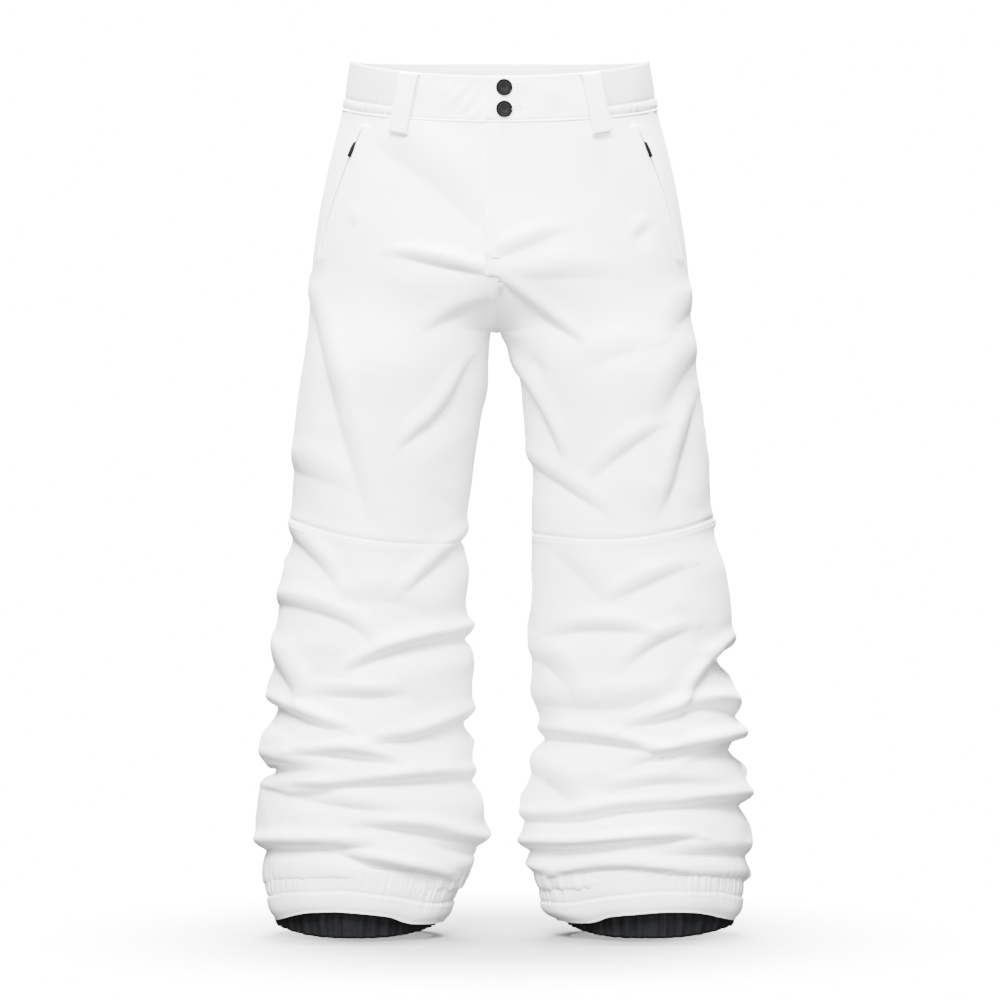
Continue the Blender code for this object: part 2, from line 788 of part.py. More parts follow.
def gusset():
    """A narrow strip that fills the gap between the two hips under the crotch."""
    drops = spaced(GUSSET_TOP, GUSSET_LOW, 6)
    path = [(0.0, d) for d in drops] + [(1.0, d) for d in reversed(drops)]
    bm = bmesh.new()
    pairs = []
    for u, drop in path:
        edge = side_point(u, drop)
        half = edge.x - 2 * GAP
        pairs.append([bm.verts.new((half * k, edge.y, edge.z - SHELL)) for k in (-1, 0, 1)])
    for near, far in zip(pairs, pairs[1:]):
        for k in (0, 1):
            bm.faces.new((near[k], far[k], far[k + 1], near[k + 1]))
    item = add("crotch_gusset", mesh_from(bm, "crotch_gusset"), "shell_cloth")
    wall = item.modifiers.new("thickness", "SOLIDIFY")
    wall.thickness = SHELL
    wall.offset = 1


def leg(side, name):
    mirrored = side < 0
    around = spaced(0.0, 1.0, 20)
    ring = around[:-1]
    front = spaced(0.0015, 0.4985, 10)
    back = spaced(0.5015, 0.9985, 10)
    hip = rows_of(side_point, around, (HIP_TOP, THIGH_TOP - SEAM, 8))
    hip = [[clear_of_seam(p, i, row) for i, p in enumerate(row)] for row in hip]
    cloth(f"hip_cloth_{name}", "shell_cloth", hip, SHELL, mirrored)
    knee = rows_of(leg_point, ring, (KNEE_TOP, SHIN_TOP - SEAM, 6))
    cloth(f"knee_cloth_{name}", "shell_cloth", knee, SHELL, mirrored, closed=True, pivot=KNEE_AXIS)
    for part, across in (("front", front), ("back", back)):
        thigh = rows_of(leg_point, across, (THIGH_TOP, KNEE_TOP - SEAM, 2))
        cloth(f"thigh_{part}_{name}", "shell_cloth", thigh, SHELL, mirrored, pivot=HIP_AXIS)
        shin = rows_of(leg_point, across, (SHIN_TOP, CUFF_TOP - SEAM, 4))
        cloth(f"shin_{part}_{name}", "shell_cloth", shin, SHELL, mirrored, pivot=KNEE_AXIS)
    cuff = rows_of(leg_point, ring, (CUFF_TOP, hem_at, 3))
    cloth(f"hem_cuff_{name}", "shell_cloth", cuff, CUFF_CLOTH, mirrored, closed=True, pivot=KNEE_AXIS)
    gaiter(ring, name, mirrored)


def clear_of_seam(point, index, row):
    """The hip cloth is open along its inner edge, where its two ends keep apart."""
    if index in (0, len(row) - 1) and (row[0] - row[-1]).length < 4 * GAP:
        return point + Vector((0, -2 * GAP if index == 0 else 2 * GAP, 0))
    return point


def hem_at(u):
    return HEM + HEM_DROOP * math.cos(math.tau * u)


def gaiter(ring, name, mirrored):
    def rows(start, end, count, extra):
        found = []
        for drop in spaced(start, end, count):
            inset = along(GAITER, drop)[0] + extra
            found.append([inset_point(leg_point, u, drop, inset) for u in ring])
        return found

    grip_top = GAITER[-1][0] - GRIP_HEIGHT
    upper = rows(GAITER[0][0], grip_top - GAP, 5, 0.0)
    cloth(f"snow_gaiter_{name}", "gaiter_cloth", upper, GAITER_CLOTH, mirrored, True, KNEE_AXIS)
    lower = rows(grip_top, GAITER[-1][0], 1, 0.0)
    cloth(f"gaiter_grip_{name}", "grip_band", lower, GRIP_CLOTH, mirrored, True, KNEE_AXIS)


def build():
    bands = waistband()
    belt_loops()
    buttons(*bands)
    fronts = trunk_panels()
    fly()
    gusset()
    for side, name in ((1, "left"), (-1, "right")):
        pocket(side, name, fronts[name])
        leg(side, name)


reset()
PARTS = collection("ski_pants")
CUTTERS = collection("ski_pants_cutters")
build()
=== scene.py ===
import math

import bmesh
import bpy
import numpy as np
from mathutils import Matrix, Vector


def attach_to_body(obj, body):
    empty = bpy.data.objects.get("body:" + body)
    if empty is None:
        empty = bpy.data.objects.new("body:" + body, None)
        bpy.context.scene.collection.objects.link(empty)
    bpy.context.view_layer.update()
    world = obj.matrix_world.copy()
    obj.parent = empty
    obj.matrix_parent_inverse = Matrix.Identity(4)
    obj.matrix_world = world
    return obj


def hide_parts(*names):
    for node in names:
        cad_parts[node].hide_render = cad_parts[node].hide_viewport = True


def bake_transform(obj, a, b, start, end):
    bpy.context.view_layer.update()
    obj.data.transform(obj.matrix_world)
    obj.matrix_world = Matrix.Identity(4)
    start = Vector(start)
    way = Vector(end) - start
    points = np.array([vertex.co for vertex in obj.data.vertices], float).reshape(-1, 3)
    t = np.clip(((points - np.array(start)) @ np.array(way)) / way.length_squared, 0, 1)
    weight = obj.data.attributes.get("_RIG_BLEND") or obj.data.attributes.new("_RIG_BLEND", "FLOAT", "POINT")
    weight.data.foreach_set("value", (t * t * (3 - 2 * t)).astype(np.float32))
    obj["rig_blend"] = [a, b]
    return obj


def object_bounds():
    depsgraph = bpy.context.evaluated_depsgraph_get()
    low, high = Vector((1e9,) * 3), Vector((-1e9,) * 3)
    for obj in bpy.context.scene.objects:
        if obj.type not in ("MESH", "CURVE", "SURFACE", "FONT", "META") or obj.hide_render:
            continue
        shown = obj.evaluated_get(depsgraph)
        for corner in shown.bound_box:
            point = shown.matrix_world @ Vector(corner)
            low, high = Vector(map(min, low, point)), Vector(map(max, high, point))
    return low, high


# Ski pants, filled as if worn. Metres, +Z up, the front faces -Y and the wearer's left is +X.
# "drop" is the distance below the waist's side edge. "u" runs around one half of the garment,
# from the centre front or the inseam (0), past the outer side (0.5), to the centre back (1).

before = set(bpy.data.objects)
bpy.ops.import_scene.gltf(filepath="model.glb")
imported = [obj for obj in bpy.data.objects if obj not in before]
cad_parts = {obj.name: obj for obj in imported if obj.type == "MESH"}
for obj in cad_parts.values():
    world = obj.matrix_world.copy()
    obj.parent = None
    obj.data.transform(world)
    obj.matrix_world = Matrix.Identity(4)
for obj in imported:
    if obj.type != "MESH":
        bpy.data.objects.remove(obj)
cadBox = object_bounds()
sideName = {1: "left", -1: "right"}


# Shader building: a Wire is one output, so that maths reads as an expression

class Wire:
    def __init__(self, finish, socket):
        self.finish = finish
        self.socket = socket

    def maths(self, operation, first, second):
        return self.finish.node("ShaderNodeMath", {"operation": operation}, {0: first, 1: second})

    def __add__(self, other):
        return self.maths("ADD", self, other)

    def __radd__(self, other):
        return self.maths("ADD", other, self)

    def __sub__(self, other):
        return self.maths("SUBTRACT", self, other)

    def __rsub__(self, other):
        return self.maths("SUBTRACT", other, self)

    def __mul__(self, other):
        return self.maths("MULTIPLY", self, other)

    def __rmul__(self, other):
        return self.maths("MULTIPLY", other, self)


class Finish:
    def __init__(self, name, roughness, metallic=0.0, **constants):
        self.material = bpy.data.materials.new(name)
        self.material.use_nodes = True
        self.tree = self.material.node_tree
        self.shader = self.tree.nodes["Principled BSDF"]
        self.feed(self.shader.inputs["Roughness"], roughness)
        self.feed(self.shader.inputs["Metallic"], metallic)
        for key, value in constants.items():
            self.feed(self.shader.inputs[key.replace("_", " ")], value)

    def feed(self, socket, value):
        if isinstance(value, Wire):
            self.tree.links.new(value.socket, socket)
        else:
            socket.default_value = value

    def node(self, kind, settings=None, values=None, out=0):
        made = self.tree.nodes.new(kind)
        for key, value in (settings or {}).items():
            if key == "stops":
                for element, (place, shade) in zip(made.color_ramp.elements, value):
                    element.position = place
                    element.color = (shade, shade, shade, 1)
            else:
                setattr(made, key, value)
        for key, value in (values or {}).items():
            self.feed(made.inputs[key], value)
        return Wire(self, made.outputs[out])

    def place(self):
        return self.node("ShaderNodeTexCoord", out="Object")

    def clothPlace(self):
        return self.node("ShaderNodeUVMap", {"uv_map": "cloth"})

    def noise(self, at, scale, detail=3.0, roughness=0.5):
        return self.node("ShaderNodeTexNoise", None, {"Vector": at, "Scale": scale, "Detail": detail,
                                                      "Roughness": roughness})

    def stripes(self, at, scale, direction="X", distortion=0.0):
        settings = {"wave_type": "BANDS", "bands_direction": direction, "wave_profile": "SIN"}
        return self.node("ShaderNodeTexWave", settings,
                         {"Vector": at, "Scale": scale, "Distortion": distortion})

    def blendColour(self, share, low, high):
        return self.node("ShaderNodeMix", {"data_type": "RGBA"},
                         {0: share, 6: (*low, 1), 7: (*high, 1)}, out=2)

    def colour(self, value):
        self.feed(self.shader.inputs["Base Color"], value if isinstance(value, Wire) else (*value, 1))

    def bump(self, height):
        relief = self.node("ShaderNodeBump", None, {"Height": height, "Distance": 0.001, "Strength": 1.0})
        self.feed(self.shader.inputs["Normal"], relief)


def wovenFinish(name, look):
    made = Finish(name, look["roughness"], Sheen_Weight=look["sheen"], Sheen_Roughness=0.5)
    made.feed(made.shader.inputs["Specular IOR Level"], look["specular"])
    at = made.clothPlace()
    crinkle = made.noise(made.place(), look["crinkleScale"], 4.0, 0.55)
    made.colour(made.blendColour(crinkle, look["dark"], look["light"]))
    warp = made.stripes(at, look["threadScale"], "X") * 0.5
    threads = warp + made.stripes(at, look["threadScale"], "Y") * 0.5
    relief = crinkle * look["crinkle"] + threads * look["thread"]
    made.bump(relief)
    made.feed(made.shader.inputs["Roughness"], look["roughness"] + (crinkle - 0.5) * 0.12)
    return made.material


def knitFinish(name, look):
    made = Finish(name, look["roughness"], Sheen_Weight=look["sheen"], Sheen_Roughness=0.45)
    made.feed(made.shader.inputs["Specular IOR Level"], 0.25)
    at = made.clothPlace()
    ribs = made.stripes(at, look["ribScale"], "X", 0.4)
    rows = made.stripes(at, look["ribScale"] * 1.7, "Y")
    fuzz = made.noise(made.place(), 900.0, 2.0)
    made.colour(made.blendColour(ribs * 0.7 + fuzz * 0.3, look["dark"], look["light"]))
    made.bump(ribs * look["rib"] + rows * look["rib"] * 0.3 + fuzz * 0.05)
    return made.material


def mouldedFinish(name, look):
    made = Finish(name, look["roughness"], look["metallic"])
    made.feed(made.shader.inputs["Specular IOR Level"], look["specular"])
    grain = made.noise(made.place(), look["grainScale"], 3.0, 0.6)
    wear = made.noise(made.place(), 240.0, 2.0)
    made.colour(made.blendColour(grain * 0.5 + wear * 0.5, look["dark"], look["light"]))
    made.bump(grain * look["grain"])
    made.feed(made.shader.inputs["Roughness"], look["roughness"] + (wear - 0.5) * 0.2)
    return made.material


shellLook = dict(roughness=0.66, sheen=0.12, specular=0.32, crinkleScale=52.0, crinkle=0.42,
                 threadScale=420.0, thread=0.035, dark=(0.83, 0.838, 0.852), light=(0.885, 0.89, 0.897))
wovenLooks = {
    "shell": ("waterproof_shell_cloth", {}),
    "band": ("waistband_cloth", dict(crinkle=0.25, crinkleScale=80.0, dark=(0.80, 0.805, 0.815),
                                     light=(0.86, 0.865, 0.872))),
    "lining": ("taffeta_lining", dict(crinkle=0.3, roughness=0.5, specular=0.4, dark=(0.60, 0.605, 0.62),
                                      light=(0.66, 0.665, 0.675))),
    "gaiter": ("gaiter_nylon", dict(roughness=0.55, sheen=0.0, specular=0.12, crinkle=0.9, crinkleScale=70.0,
                                    dark=(0.0042, 0.0043, 0.0047), light=(0.0075, 0.0077, 0.0083))),
}
knitKeys = ("roughness", "sheen", "ribScale", "rib", "dark", "light")
knitLooks = {
    "knit": ("ribbed_stretch_knit", 0.8, 0.2, 170.0, 0.16, (0.60, 0.605, 0.612), (0.72, 0.724, 0.73)),
    "webbing": ("elastic_webbing", 0.75, 0.1, 260.0, 0.2, (0.50, 0.50, 0.50), (0.62, 0.62, 0.62)),
    "tape": ("zip_tape_weave", 0.8, 0.1, 380.0, 0.12, (0.72, 0.725, 0.735), (0.80, 0.805, 0.81)),
}
mouldedKeys = ("roughness", "metallic", "specular", "grainScale", "grain", "dark", "light")
mouldedLooks = {
    "grip": ("rubber_grip", 0.6, 0.0, 0.2, 700.0, 0.1, (0.004, 0.004, 0.0045), (0.007, 0.007, 0.008)),
    "button": ("enamelled_button_metal", 0.5, 0.0, 0.03, 1400.0, 0.05, (0.0022, 0.0023, 0.0025),
               (0.0042, 0.0044, 0.0047)),
    "tack": ("tack_steel", 0.35, 1.0, 0.5, 900.0, 0.04, (0.40, 0.39, 0.37), (0.50, 0.49, 0.46)),
    "teeth": ("moulded_zip_teeth", 0.45, 0.0, 0.4, 900.0, 0.03, (0.70, 0.71, 0.72), (0.78, 0.79, 0.80)),
    "slider": ("zip_slider_metal", 0.35, 0.9, 0.5, 800.0, 0.04, (0.10, 0.10, 0.105), (0.16, 0.16, 0.165)),
    "pull": ("pull_tab_plastic", 0.5, 0.0, 0.12, 1100.0, 0.08, (0.0022, 0.0023, 0.0025),
             (0.0045, 0.0047, 0.005)),
    "thread": ("polyester_thread", 0.6, 0.0, 0.3, 2500.0, 0.1, (0.78, 0.785, 0.79), (0.86, 0.865, 0.87)),
}
finishes = {key: wovenFinish(name, {**shellLook, **own}) for key, (name, own) in wovenLooks.items()}
for key, (name, *values) in knitLooks.items():
    finishes[key] = knitFinish(name, dict(zip(knitKeys, values)))
for key, (name, *values) in mouldedLooks.items():
    finishes[key] = mouldedFinish(name, dict(zip(mouldedKeys, values)))
print("finishes made")


# Shape of the garment

bodyShape = dict(
    # drop, half width, depth ahead of the middle, depth behind it
    trunk=np.array([(-0.030, 0.1550, 0.1090, 0.1080), (0.000, 0.1580, 0.1110, 0.1110),
                    (0.050, 0.1655, 0.1145, 0.1180), (0.100, 0.1780, 0.1185, 0.1270),
                    (0.150, 0.1890, 0.1225, 0.1330), (0.200, 0.1965, 0.1265, 0.1365),
                    (0.250, 0.2015, 0.1280, 0.1350), (0.320, 0.2090, 0.1260, 0.1300)]),
    # drop, middle, half width, half depth
    leg=np.array([(0.210, 0.1000, 0.1010, 0.1160), (0.320, 0.1108, 0.0988, 0.1140),
                  (0.380, 0.1190, 0.0965, 0.1060), (0.450, 0.1260, 0.0950, 0.1000),
                  (0.500, 0.1300, 0.0945, 0.0960), (0.570, 0.1363, 0.1008, 0.0960),
                  (0.640, 0.1393, 0.1078, 0.0950), (0.720, 0.1453, 0.1103, 0.0940),
                  (0.800, 0.1410, 0.1190, 0.0930), (0.840, 0.1425, 0.1195, 0.0910),
                  (0.865, 0.1455, 0.1105, 0.0860), (0.915, 0.1530, 0.0985, 0.0790),
                  (0.960, 0.1530, 0.0960, 0.0770)]),
    frontDip=0.029, backRise=0.009, edgeFade=0.20,
    crotchFrom=0.220, crotchTo=0.2875, legFrom=0.340,
    flyLap=0.0253,
)
# The two edges of each leg as the cloth hangs: drop, distance of the edge from the centre line
legEdges = {
    -1: dict(
        outer=np.array([(0.210, 0.1975), (0.242, 0.2020), (0.325, 0.2105), (0.427, 0.2200), (0.500, 0.2220),
                        (0.567, 0.2349), (0.624, 0.2412), (0.659, 0.2476), (0.691, 0.2420), (0.728, 0.2550),
                        (0.753, 0.2380), (0.768, 0.2560), (0.804, 0.2570), (0.841, 0.2550), (0.874, 0.2497),
                        (0.908, 0.2440), (0.960, 0.2400)]),
        inner=np.array([(0.210, -0.001), (0.303, 0.0127), (0.343, 0.0138), (0.380, 0.0210), (0.445, 0.0307),
                        (0.500, 0.0360), (0.539, 0.0340), (0.582, 0.0380), (0.622, 0.0286), (0.685, 0.0307),
                        (0.717, 0.0328), (0.753, 0.0275), (0.794, 0.0201), (0.841, 0.0210), (0.859, 0.0340),
                        (0.910, 0.0530), (0.960, 0.0560)])),
    1: dict(
        outer=np.array([(0.210, 0.1975), (0.252, 0.2010), (0.343, 0.2116), (0.416, 0.2210), (0.496, 0.2264),
                        (0.539, 0.2390), (0.619, 0.2465), (0.633, 0.2390), (0.670, 0.2497), (0.706, 0.2560),
                        (0.724, 0.2518), (0.776, 0.2624), (0.830, 0.2645), (0.870, 0.2590), (0.911, 0.2540),
                        (0.960, 0.2500)]),
        inner=np.array([(0.210, -0.001), (0.289, 0.0021), (0.303, 0.0090), (0.343, 0.0170), (0.416, 0.0296),
                        (0.463, 0.0350), (0.502, 0.0350), (0.604, 0.0340), (0.625, 0.0307), (0.680, 0.0350),
                        (0.705, 0.0444), (0.750, 0.0317), (0.794, 0.0243), (0.849, 0.0254), (0.859, 0.0370),
                        (0.895, 0.0455), (0.914, 0.0570), (0.960, 0.0600)])),
}


def smooth(x):
    x = np.clip(x, 0.0, 1.0)
    return x * x * (3 - 2 * x)


def through(table, column, at):
    # a smooth curve through the table's rows that doesn't swing past them
    xs = table[:, 0]
    ys = table[:, column]
    gaps = np.diff(xs)
    slopes = np.diff(ys) / gaps
    tangents = np.zeros(len(xs))
    agree = slopes[:-1] * slopes[1:] > 0
    tangents[1:-1][agree] = (2 * slopes[:-1] * slopes[1:] / (slopes[:-1] + slopes[1:] + 1e-20))[agree]
    tangents[0] = slopes[0]
    tangents[-1] = slopes[-1]
    at = np.clip(at, xs[0], xs[-1])
    i = np.clip(np.searchsorted(xs, at) - 1, 0, len(gaps) - 1)
    t = (at - xs[i]) / gaps[i]
    a = ys[i]
    b = ys[i + 1]
    ta = tangents[i] * gaps[i]
    tb = tangents[i + 1] * gaps[i]
    leaving = (2 * t**3 - 3 * t**2 + 1) * a + (t**3 - 2 * t**2 + t) * ta
    return leaving + (3 * t**2 - 2 * t**3) * b + (t**3 - t**2) * tb


def trunkPoint(w, drop):
    shape = bodyShape["trunk"]
    turn = math.pi * w
    ahead = np.cos(turn)
    depth = np.where(ahead > 0, through(shape, 2, drop), through(shape, 3, drop))
    rise = bodyShape["backRise"] * np.maximum(0, -ahead) ** 1.5
    rise = rise - bodyShape["frontDip"] * np.maximum(0, ahead) ** 1.2
    fade = 1 - smooth(drop / bodyShape["edgeFade"])
    return np.stack([through(shape, 1, drop) * np.sin(turn), -depth * ahead, rise * fade - drop], -1)


def legPoint(side, u, drop):
    shape = bodyShape["leg"]
    middle = through(shape, 1, drop)
    width = through(shape, 2, drop)
    turn = 2 * math.pi * u
    towards = np.cos(turn)
    x = middle - width * towards
    x = x + (through(legEdges[side]["inner"], 1, drop) - (middle - width)) * np.maximum(0, towards) ** 1.6
    x = x + (through(legEdges[side]["outer"], 1, drop) - (middle + width)) * np.maximum(0, -towards) ** 1.6
    return np.stack([x, -through(shape, 3, drop) * np.sin(turn), -drop], -1)


def halfPoint(side, u, drop):
    # outer face of one half before any fold: trunk above, leg below
    u, drop = np.broadcast_arrays(np.asarray(u, float), np.asarray(drop, float))
    lap = side * bodyShape["flyLap"] * (1 - smooth((drop - 0.226) / 0.055))
    w = -lap + (1 + lap) * u
    below = drop - bodyShape["crotchFrom"]
    inner = np.clip(below / (bodyShape["crotchTo"] - bodyShape["crotchFrom"]), 0, 1)
    outer = smooth(below / (bodyShape["legFrom"] - bodyShape["crotchFrom"]))
    fromEdge = smooth(np.minimum(u, 1 - u) / 0.13) ** 0.6
    t = ((1 - np.sqrt(1 - inner**2)) * (1 - fromEdge) + outer * fromEdge)[..., None]
    point = trunkPoint(w, drop) * (1 - t) + legPoint(side, u, drop) * t
    return point * np.array([side, 1, 1])


def outlinePoint(w, drop):
    w, drop = np.broadcast_arrays(np.asarray(w, float), np.asarray(drop, float))
    return trunkPoint((w + 1) % 2 - 1, drop)


def normalsOf(surface, a, drop, flip=1):
    step = 0.0015
    across = surface(a + step, drop) - surface(a - step, drop)
    down = surface(a, drop + step) - surface(a, drop - step)
    out = np.cross(down, across) * flip
    return out / np.maximum(np.linalg.norm(out, axis=-1, keepdims=True), 1e-12)


def frameAt(w, drop):
    out = Vector(normalsOf(outlinePoint, w, drop))
    up = Vector(outlinePoint(w, drop - 0.01) - outlinePoint(w, drop + 0.01))
    return placed(Vector(outlinePoint(w, drop)), out, up)


def placed(origin, out, up):
    up = up.normalized()
    out = (out - up * out.dot(up)).normalized()
    sideways = (-out).cross(up)
    return Matrix.Translation(origin) @ Matrix((sideways, -out, up)).transposed().to_4x4()


def zipPlace(start, end, inset):
    # place of a straight zip between two (w, drop) points, and its length
    top = Vector(outlinePoint(*start))
    bottom = Vector(outlinePoint(*end))
    middle = ((start[0] + end[0]) / 2, (start[1] + end[1]) / 2)
    place = placed(top, Vector(normalsOf(outlinePoint, *middle)), top - bottom)
    inverse = place.inverted()
    sunk = 0.0
    for step in range(9):
        spot = [a + (b - a) * step / 8 for a, b in zip(start, end)]
        sunk = max(sunk, (inverse @ Vector(outlinePoint(*spot))).y)
    return place @ Matrix.Translation((0, inset + sunk, 0)), (top - bottom).length


pocketLine = dict(top=(0.315, 0.0660), low=(0.401, 0.2146))


def pocketEnds(side):
    return [(side * w, drop) for w, drop in (pocketLine["top"], pocketLine["low"])]


# Folds of the hanging cloth

foldKinds = {  # depth and half width in mm
    "soft": (3.0, 15), "wide": (4.0, 24), "mid": (4.5, 10), "strong": (7.0, 9), "vstrong": (10.0, 9),
    "small": (2.0, 8), "outer": (5.0, 14),
}
# Each fold is a line in mm as seen from straight ahead at standing distance, (sideways, height)
upperFolds = {
    -1: [
        ("strong", (-114, -208), (-60, -221), (-14, -230)),
        ("wide", (-140, -88), (-82, -125), (-20, -183)),
        ("small", (-173, -161), (-155, -179)),
        ("outer", (-198, -281), (-176, -380), (-140, -487)),
        ("soft", (-213, -438), (-162, -456)),
        ("strong", (-31, -321), (-52, -372), (-104, -412)),
        ("small", (-67, -449), (-52, -478)),
        ("mid", (-14, -259), (-52, -276), (-82, -289)),
    ],
    1: [
        ("mid", (-5, -210), (28, -201), (64, -183)),
        ("soft", (-1, -230), (42, -234), (115, -230)),
        ("strong", (-3, -234), (31, -267), (86, -301)),
        ("soft", (82, -329), (148, -307)),
        ("small", (35, -314), (44, -336)),
        ("strong", (20, -343), (42, -380), (62, -422)),
        ("mid", (97, -445), (144, -409), (170, -391)),
        ("soft", (203, -329), (170, -380)),
        ("mid", (203, -391), (181, -471)),
        ("soft", (188, -449), (170, -485)),
        ("small", (144, -190), (166, -172)),
        ("mid", (42, -438), (71, -460), (111, -480)),
        ("soft", (184, -289), (203, -270)),
    ],
}
lowerFolds = {
    -1: [
        ("mid", (-216, -513), (-176, -553)),
        ("strong", (-45, -517), (-71, -542), (-100, -564)),
        ("soft", (-176, -575), (-114, -571), (-52, -600)),
        ("mid", (-231, -578), (-165, -593), (-133, -622)),
        ("vstrong", (-160, -648), (-111, -626), (-31, -611)),
        ("mid", (-202, -673), (-133, -677), (-100, -673)),
        ("outer", (-242, -644), (-216, -684)),
        ("strong", (-231, -691), (-195, -706), (-165, -710)),
        ("strong", (-133, -724), (-82, -721), (-31, -699)),
        ("strong", (-216, -735), (-158, -739), (-100, -748)),
        ("mid", (-238, -750), (-176, -757), (-151, -753)),
        ("strong", (-238, -770), (-176, -772), (-104, -766), (-31, -762)),
        ("mid", (-220, -779), (-191, -779), (-169, -772)),
        ("mid", (-249, -772), (-213, -786), (-140, -795), (-100, -798)),
        ("strong", (-147, -812), (-82, -819), (-31, -830)),
        ("strong", (-253, -837), (-195, -837), (-133, -834)),
        ("strong", (-176, -841), (-125, -859), (-60, -866)),
        ("mid", (-74, -830), (-52, -837), (-31, -841)),
    ],
    1: [
        ("soft", (53, -520), (79, -546), (111, -575)),
        ("mid", (199, -538), (152, -560), (115, -575)),
        ("mid", (50, -611), (97, -604), (159, -608)),
        ("mid", (203, -604), (163, -622), (133, -644)),
        ("soft", (35, -637), (64, -655), (79, -680)),
        ("strong", (239, -633), (214, -659), (199, -684)),
        ("soft", (42, -684), (97, -691), (152, -684), (195, -666)),
        ("strong", (133, -708), (170, -702), (232, -680), (246, -688)),
        ("strong", (42, -717), (79, -721), (133, -728), (177, -737)),
        ("strong", (137, -750), (184, -737), (250, -722)),
        ("mid", (111, -779), (170, -766), (239, -768)),
        ("soft", (35, -757), (64, -779), (82, -797)),
        ("strong", (39, -806), (79, -808), (115, -799), (152, -795), (254, -788)),
        ("vstrong", (35, -837), (79, -839), (141, -832), (206, -824)),
        ("mid", (133, -844), (170, -843), (257, -843)),
        ("strong", (64, -863), (115, -859), (184, -859)),
        ("mid", (152, -866), (254, -870)),
        ("mid", (192, -750), (232, -735), (254, -728)),
        ("mid", (203, -786), (254, -788)),
    ],
}
foldLook = dict(deeper=0.4, eye=4.0, eyeHeight=-0.4655, aboveLip=0.75, belowLip=0.25, backFolds=26, seed=11,
                reach=0.016, carriedOn=0.035)


def chaikin(path):
    for _ in range(2):
        rounded = [path[0]]
        for a, b in zip(path, path[1:]):
            rounded += [a * 0.75 + b * 0.25, a * 0.25 + b * 0.75]
        path = rounded + [path[-1]]
    return path


def foldLine(side, path):
    # a smoothed line in metres, carried on past the edge of the leg where it comes near it
    path = [np.array(p, float) / 1000 for p in path]
    for end, inward in ((0, 1), (-1, -2)):
        x, z = path[end]
        inner = float(through(legEdges[side]["inner"], 1, -z))
        outer = float(through(legEdges[side]["outer"], 1, -z))
        reach = foldLook["reach"]
        if side * x > outer - reach or (side * x < inner + reach and z < -0.33):
            direction = path[end] - path[inward]
            path[end] = path[end] + direction / np.linalg.norm(direction) * foldLook["carriedOn"]
    return np.array(chaikin(path))


def stroke(seen, path, depth, width):
    # height of one fold at each seen point: a pinched valley between two lips
    best = np.full(len(seen), 1e9)
    signed = np.zeros(len(seen))
    along = np.zeros(len(seen))
    lengths = np.linalg.norm(np.diff(path, axis=0), axis=1)
    total = lengths.sum()
    walked = 0.0
    for a, b, length in zip(path, path[1:], lengths):
        direction = (b - a) / length
        t = np.clip((seen - a) @ direction, 0, length)
        gap = seen - (a + t[:, None] * direction)
        distance = np.linalg.norm(gap, axis=1)
        up = np.array([-direction[1], direction[0]])
        up = up if up[1] >= 0 else -up
        nearer = distance < best
        best = np.where(nearer, distance, best)
        signed = np.where(nearer, np.where(gap @ up >= 0, distance, -distance), signed)
        along = np.where(nearer, (walked + t) / total, along)
        walked += length
    taper = np.sin(math.pi * np.clip(along * 0.94 + 0.03, 0, 1)) ** 0.75
    width = width * (0.6 + 0.4 * taper)
    s = signed / width
    lipAbove = foldLook["aboveLip"]
    lipBelow = foldLook["belowLip"]
    above = -np.exp(-(np.maximum(s, 0) / 0.50) ** 1.5) + lipAbove * np.exp(-((s - 1.55) / 0.95) ** 2)
    below = -np.exp(-(np.maximum(-s, 0) / 1.35) ** 1.25) + lipBelow * np.exp(-((s + 3.0) / 1.5) ** 2)
    join = lipAbove * math.exp(-(1.55 / 0.95) ** 2) - lipBelow * math.exp(-4.0)
    height = np.where(s >= 0, above, below + join * np.exp(-np.abs(s) * 1.5))
    deeper = 1 + foldLook["deeper"] * smooth((-0.56 - path[:, 1].mean()) / 0.12)
    return depth * deeper * taper * height


def ripple(points, seed, count, longest, shortest, stretch):
    # a sum of sine waves in seeded directions: gentle unevenness without a pattern
    rng = np.random.default_rng(seed)
    total = np.zeros(len(points))
    for k in range(count):
        size = longest * (shortest / longest) ** (k / max(1, count - 1))
        direction = rng.normal(size=3) * np.array(stretch)
        direction = direction / np.linalg.norm(direction) * 2 * math.pi / size
        total += np.sin(points @ direction + rng.uniform(0, 6.28)) * (size / longest) ** 0.8
    return total / count**0.5


def backFoldLines(side, low, high, flatness, seed, count):
    rng = np.random.default_rng(seed)
    lines = []
    for _ in range(count):
        z = rng.uniform(low, high)
        inner = float(through(legEdges[side]["inner"], 1, -z)) if z < -0.33 else 0.02
        outer = float(through(legEdges[side]["outer"], 1, -z))
        x = rng.uniform(inner, outer)
        length = rng.uniform(0.05, 0.13)
        lean = rng.normal(0, flatness)
        bend = rng.normal(0, 0.012)
        line = [np.array((side * (x + length * k / 2), z + lean * length * k / 2 + bend * (1 - k * k)))
                for k in (-1, 0, 1)]
        depth = rng.uniform(0.003, 0.0075)
        lines.append((np.array(chaikin(line)), depth, rng.uniform(0.008, 0.014)))
    return lines


foldLines = {}
backLines = {}
for side in (1, -1):
    foldLines[side] = [(foldLine(side, path), *[v / 1000 for v in foldKinds[kind]])
                       for kind, *path in upperFolds[side] + lowerFolds[side]]
    seed = foldLook["seed"]
    backLines[side] = (backFoldLines(side, -0.47, -0.20, 0.8, seed + side, 7)
                       + backFoldLines(side, -0.87, -0.50, 0.22, seed + 5 * side, foldLook["backFolds"]))


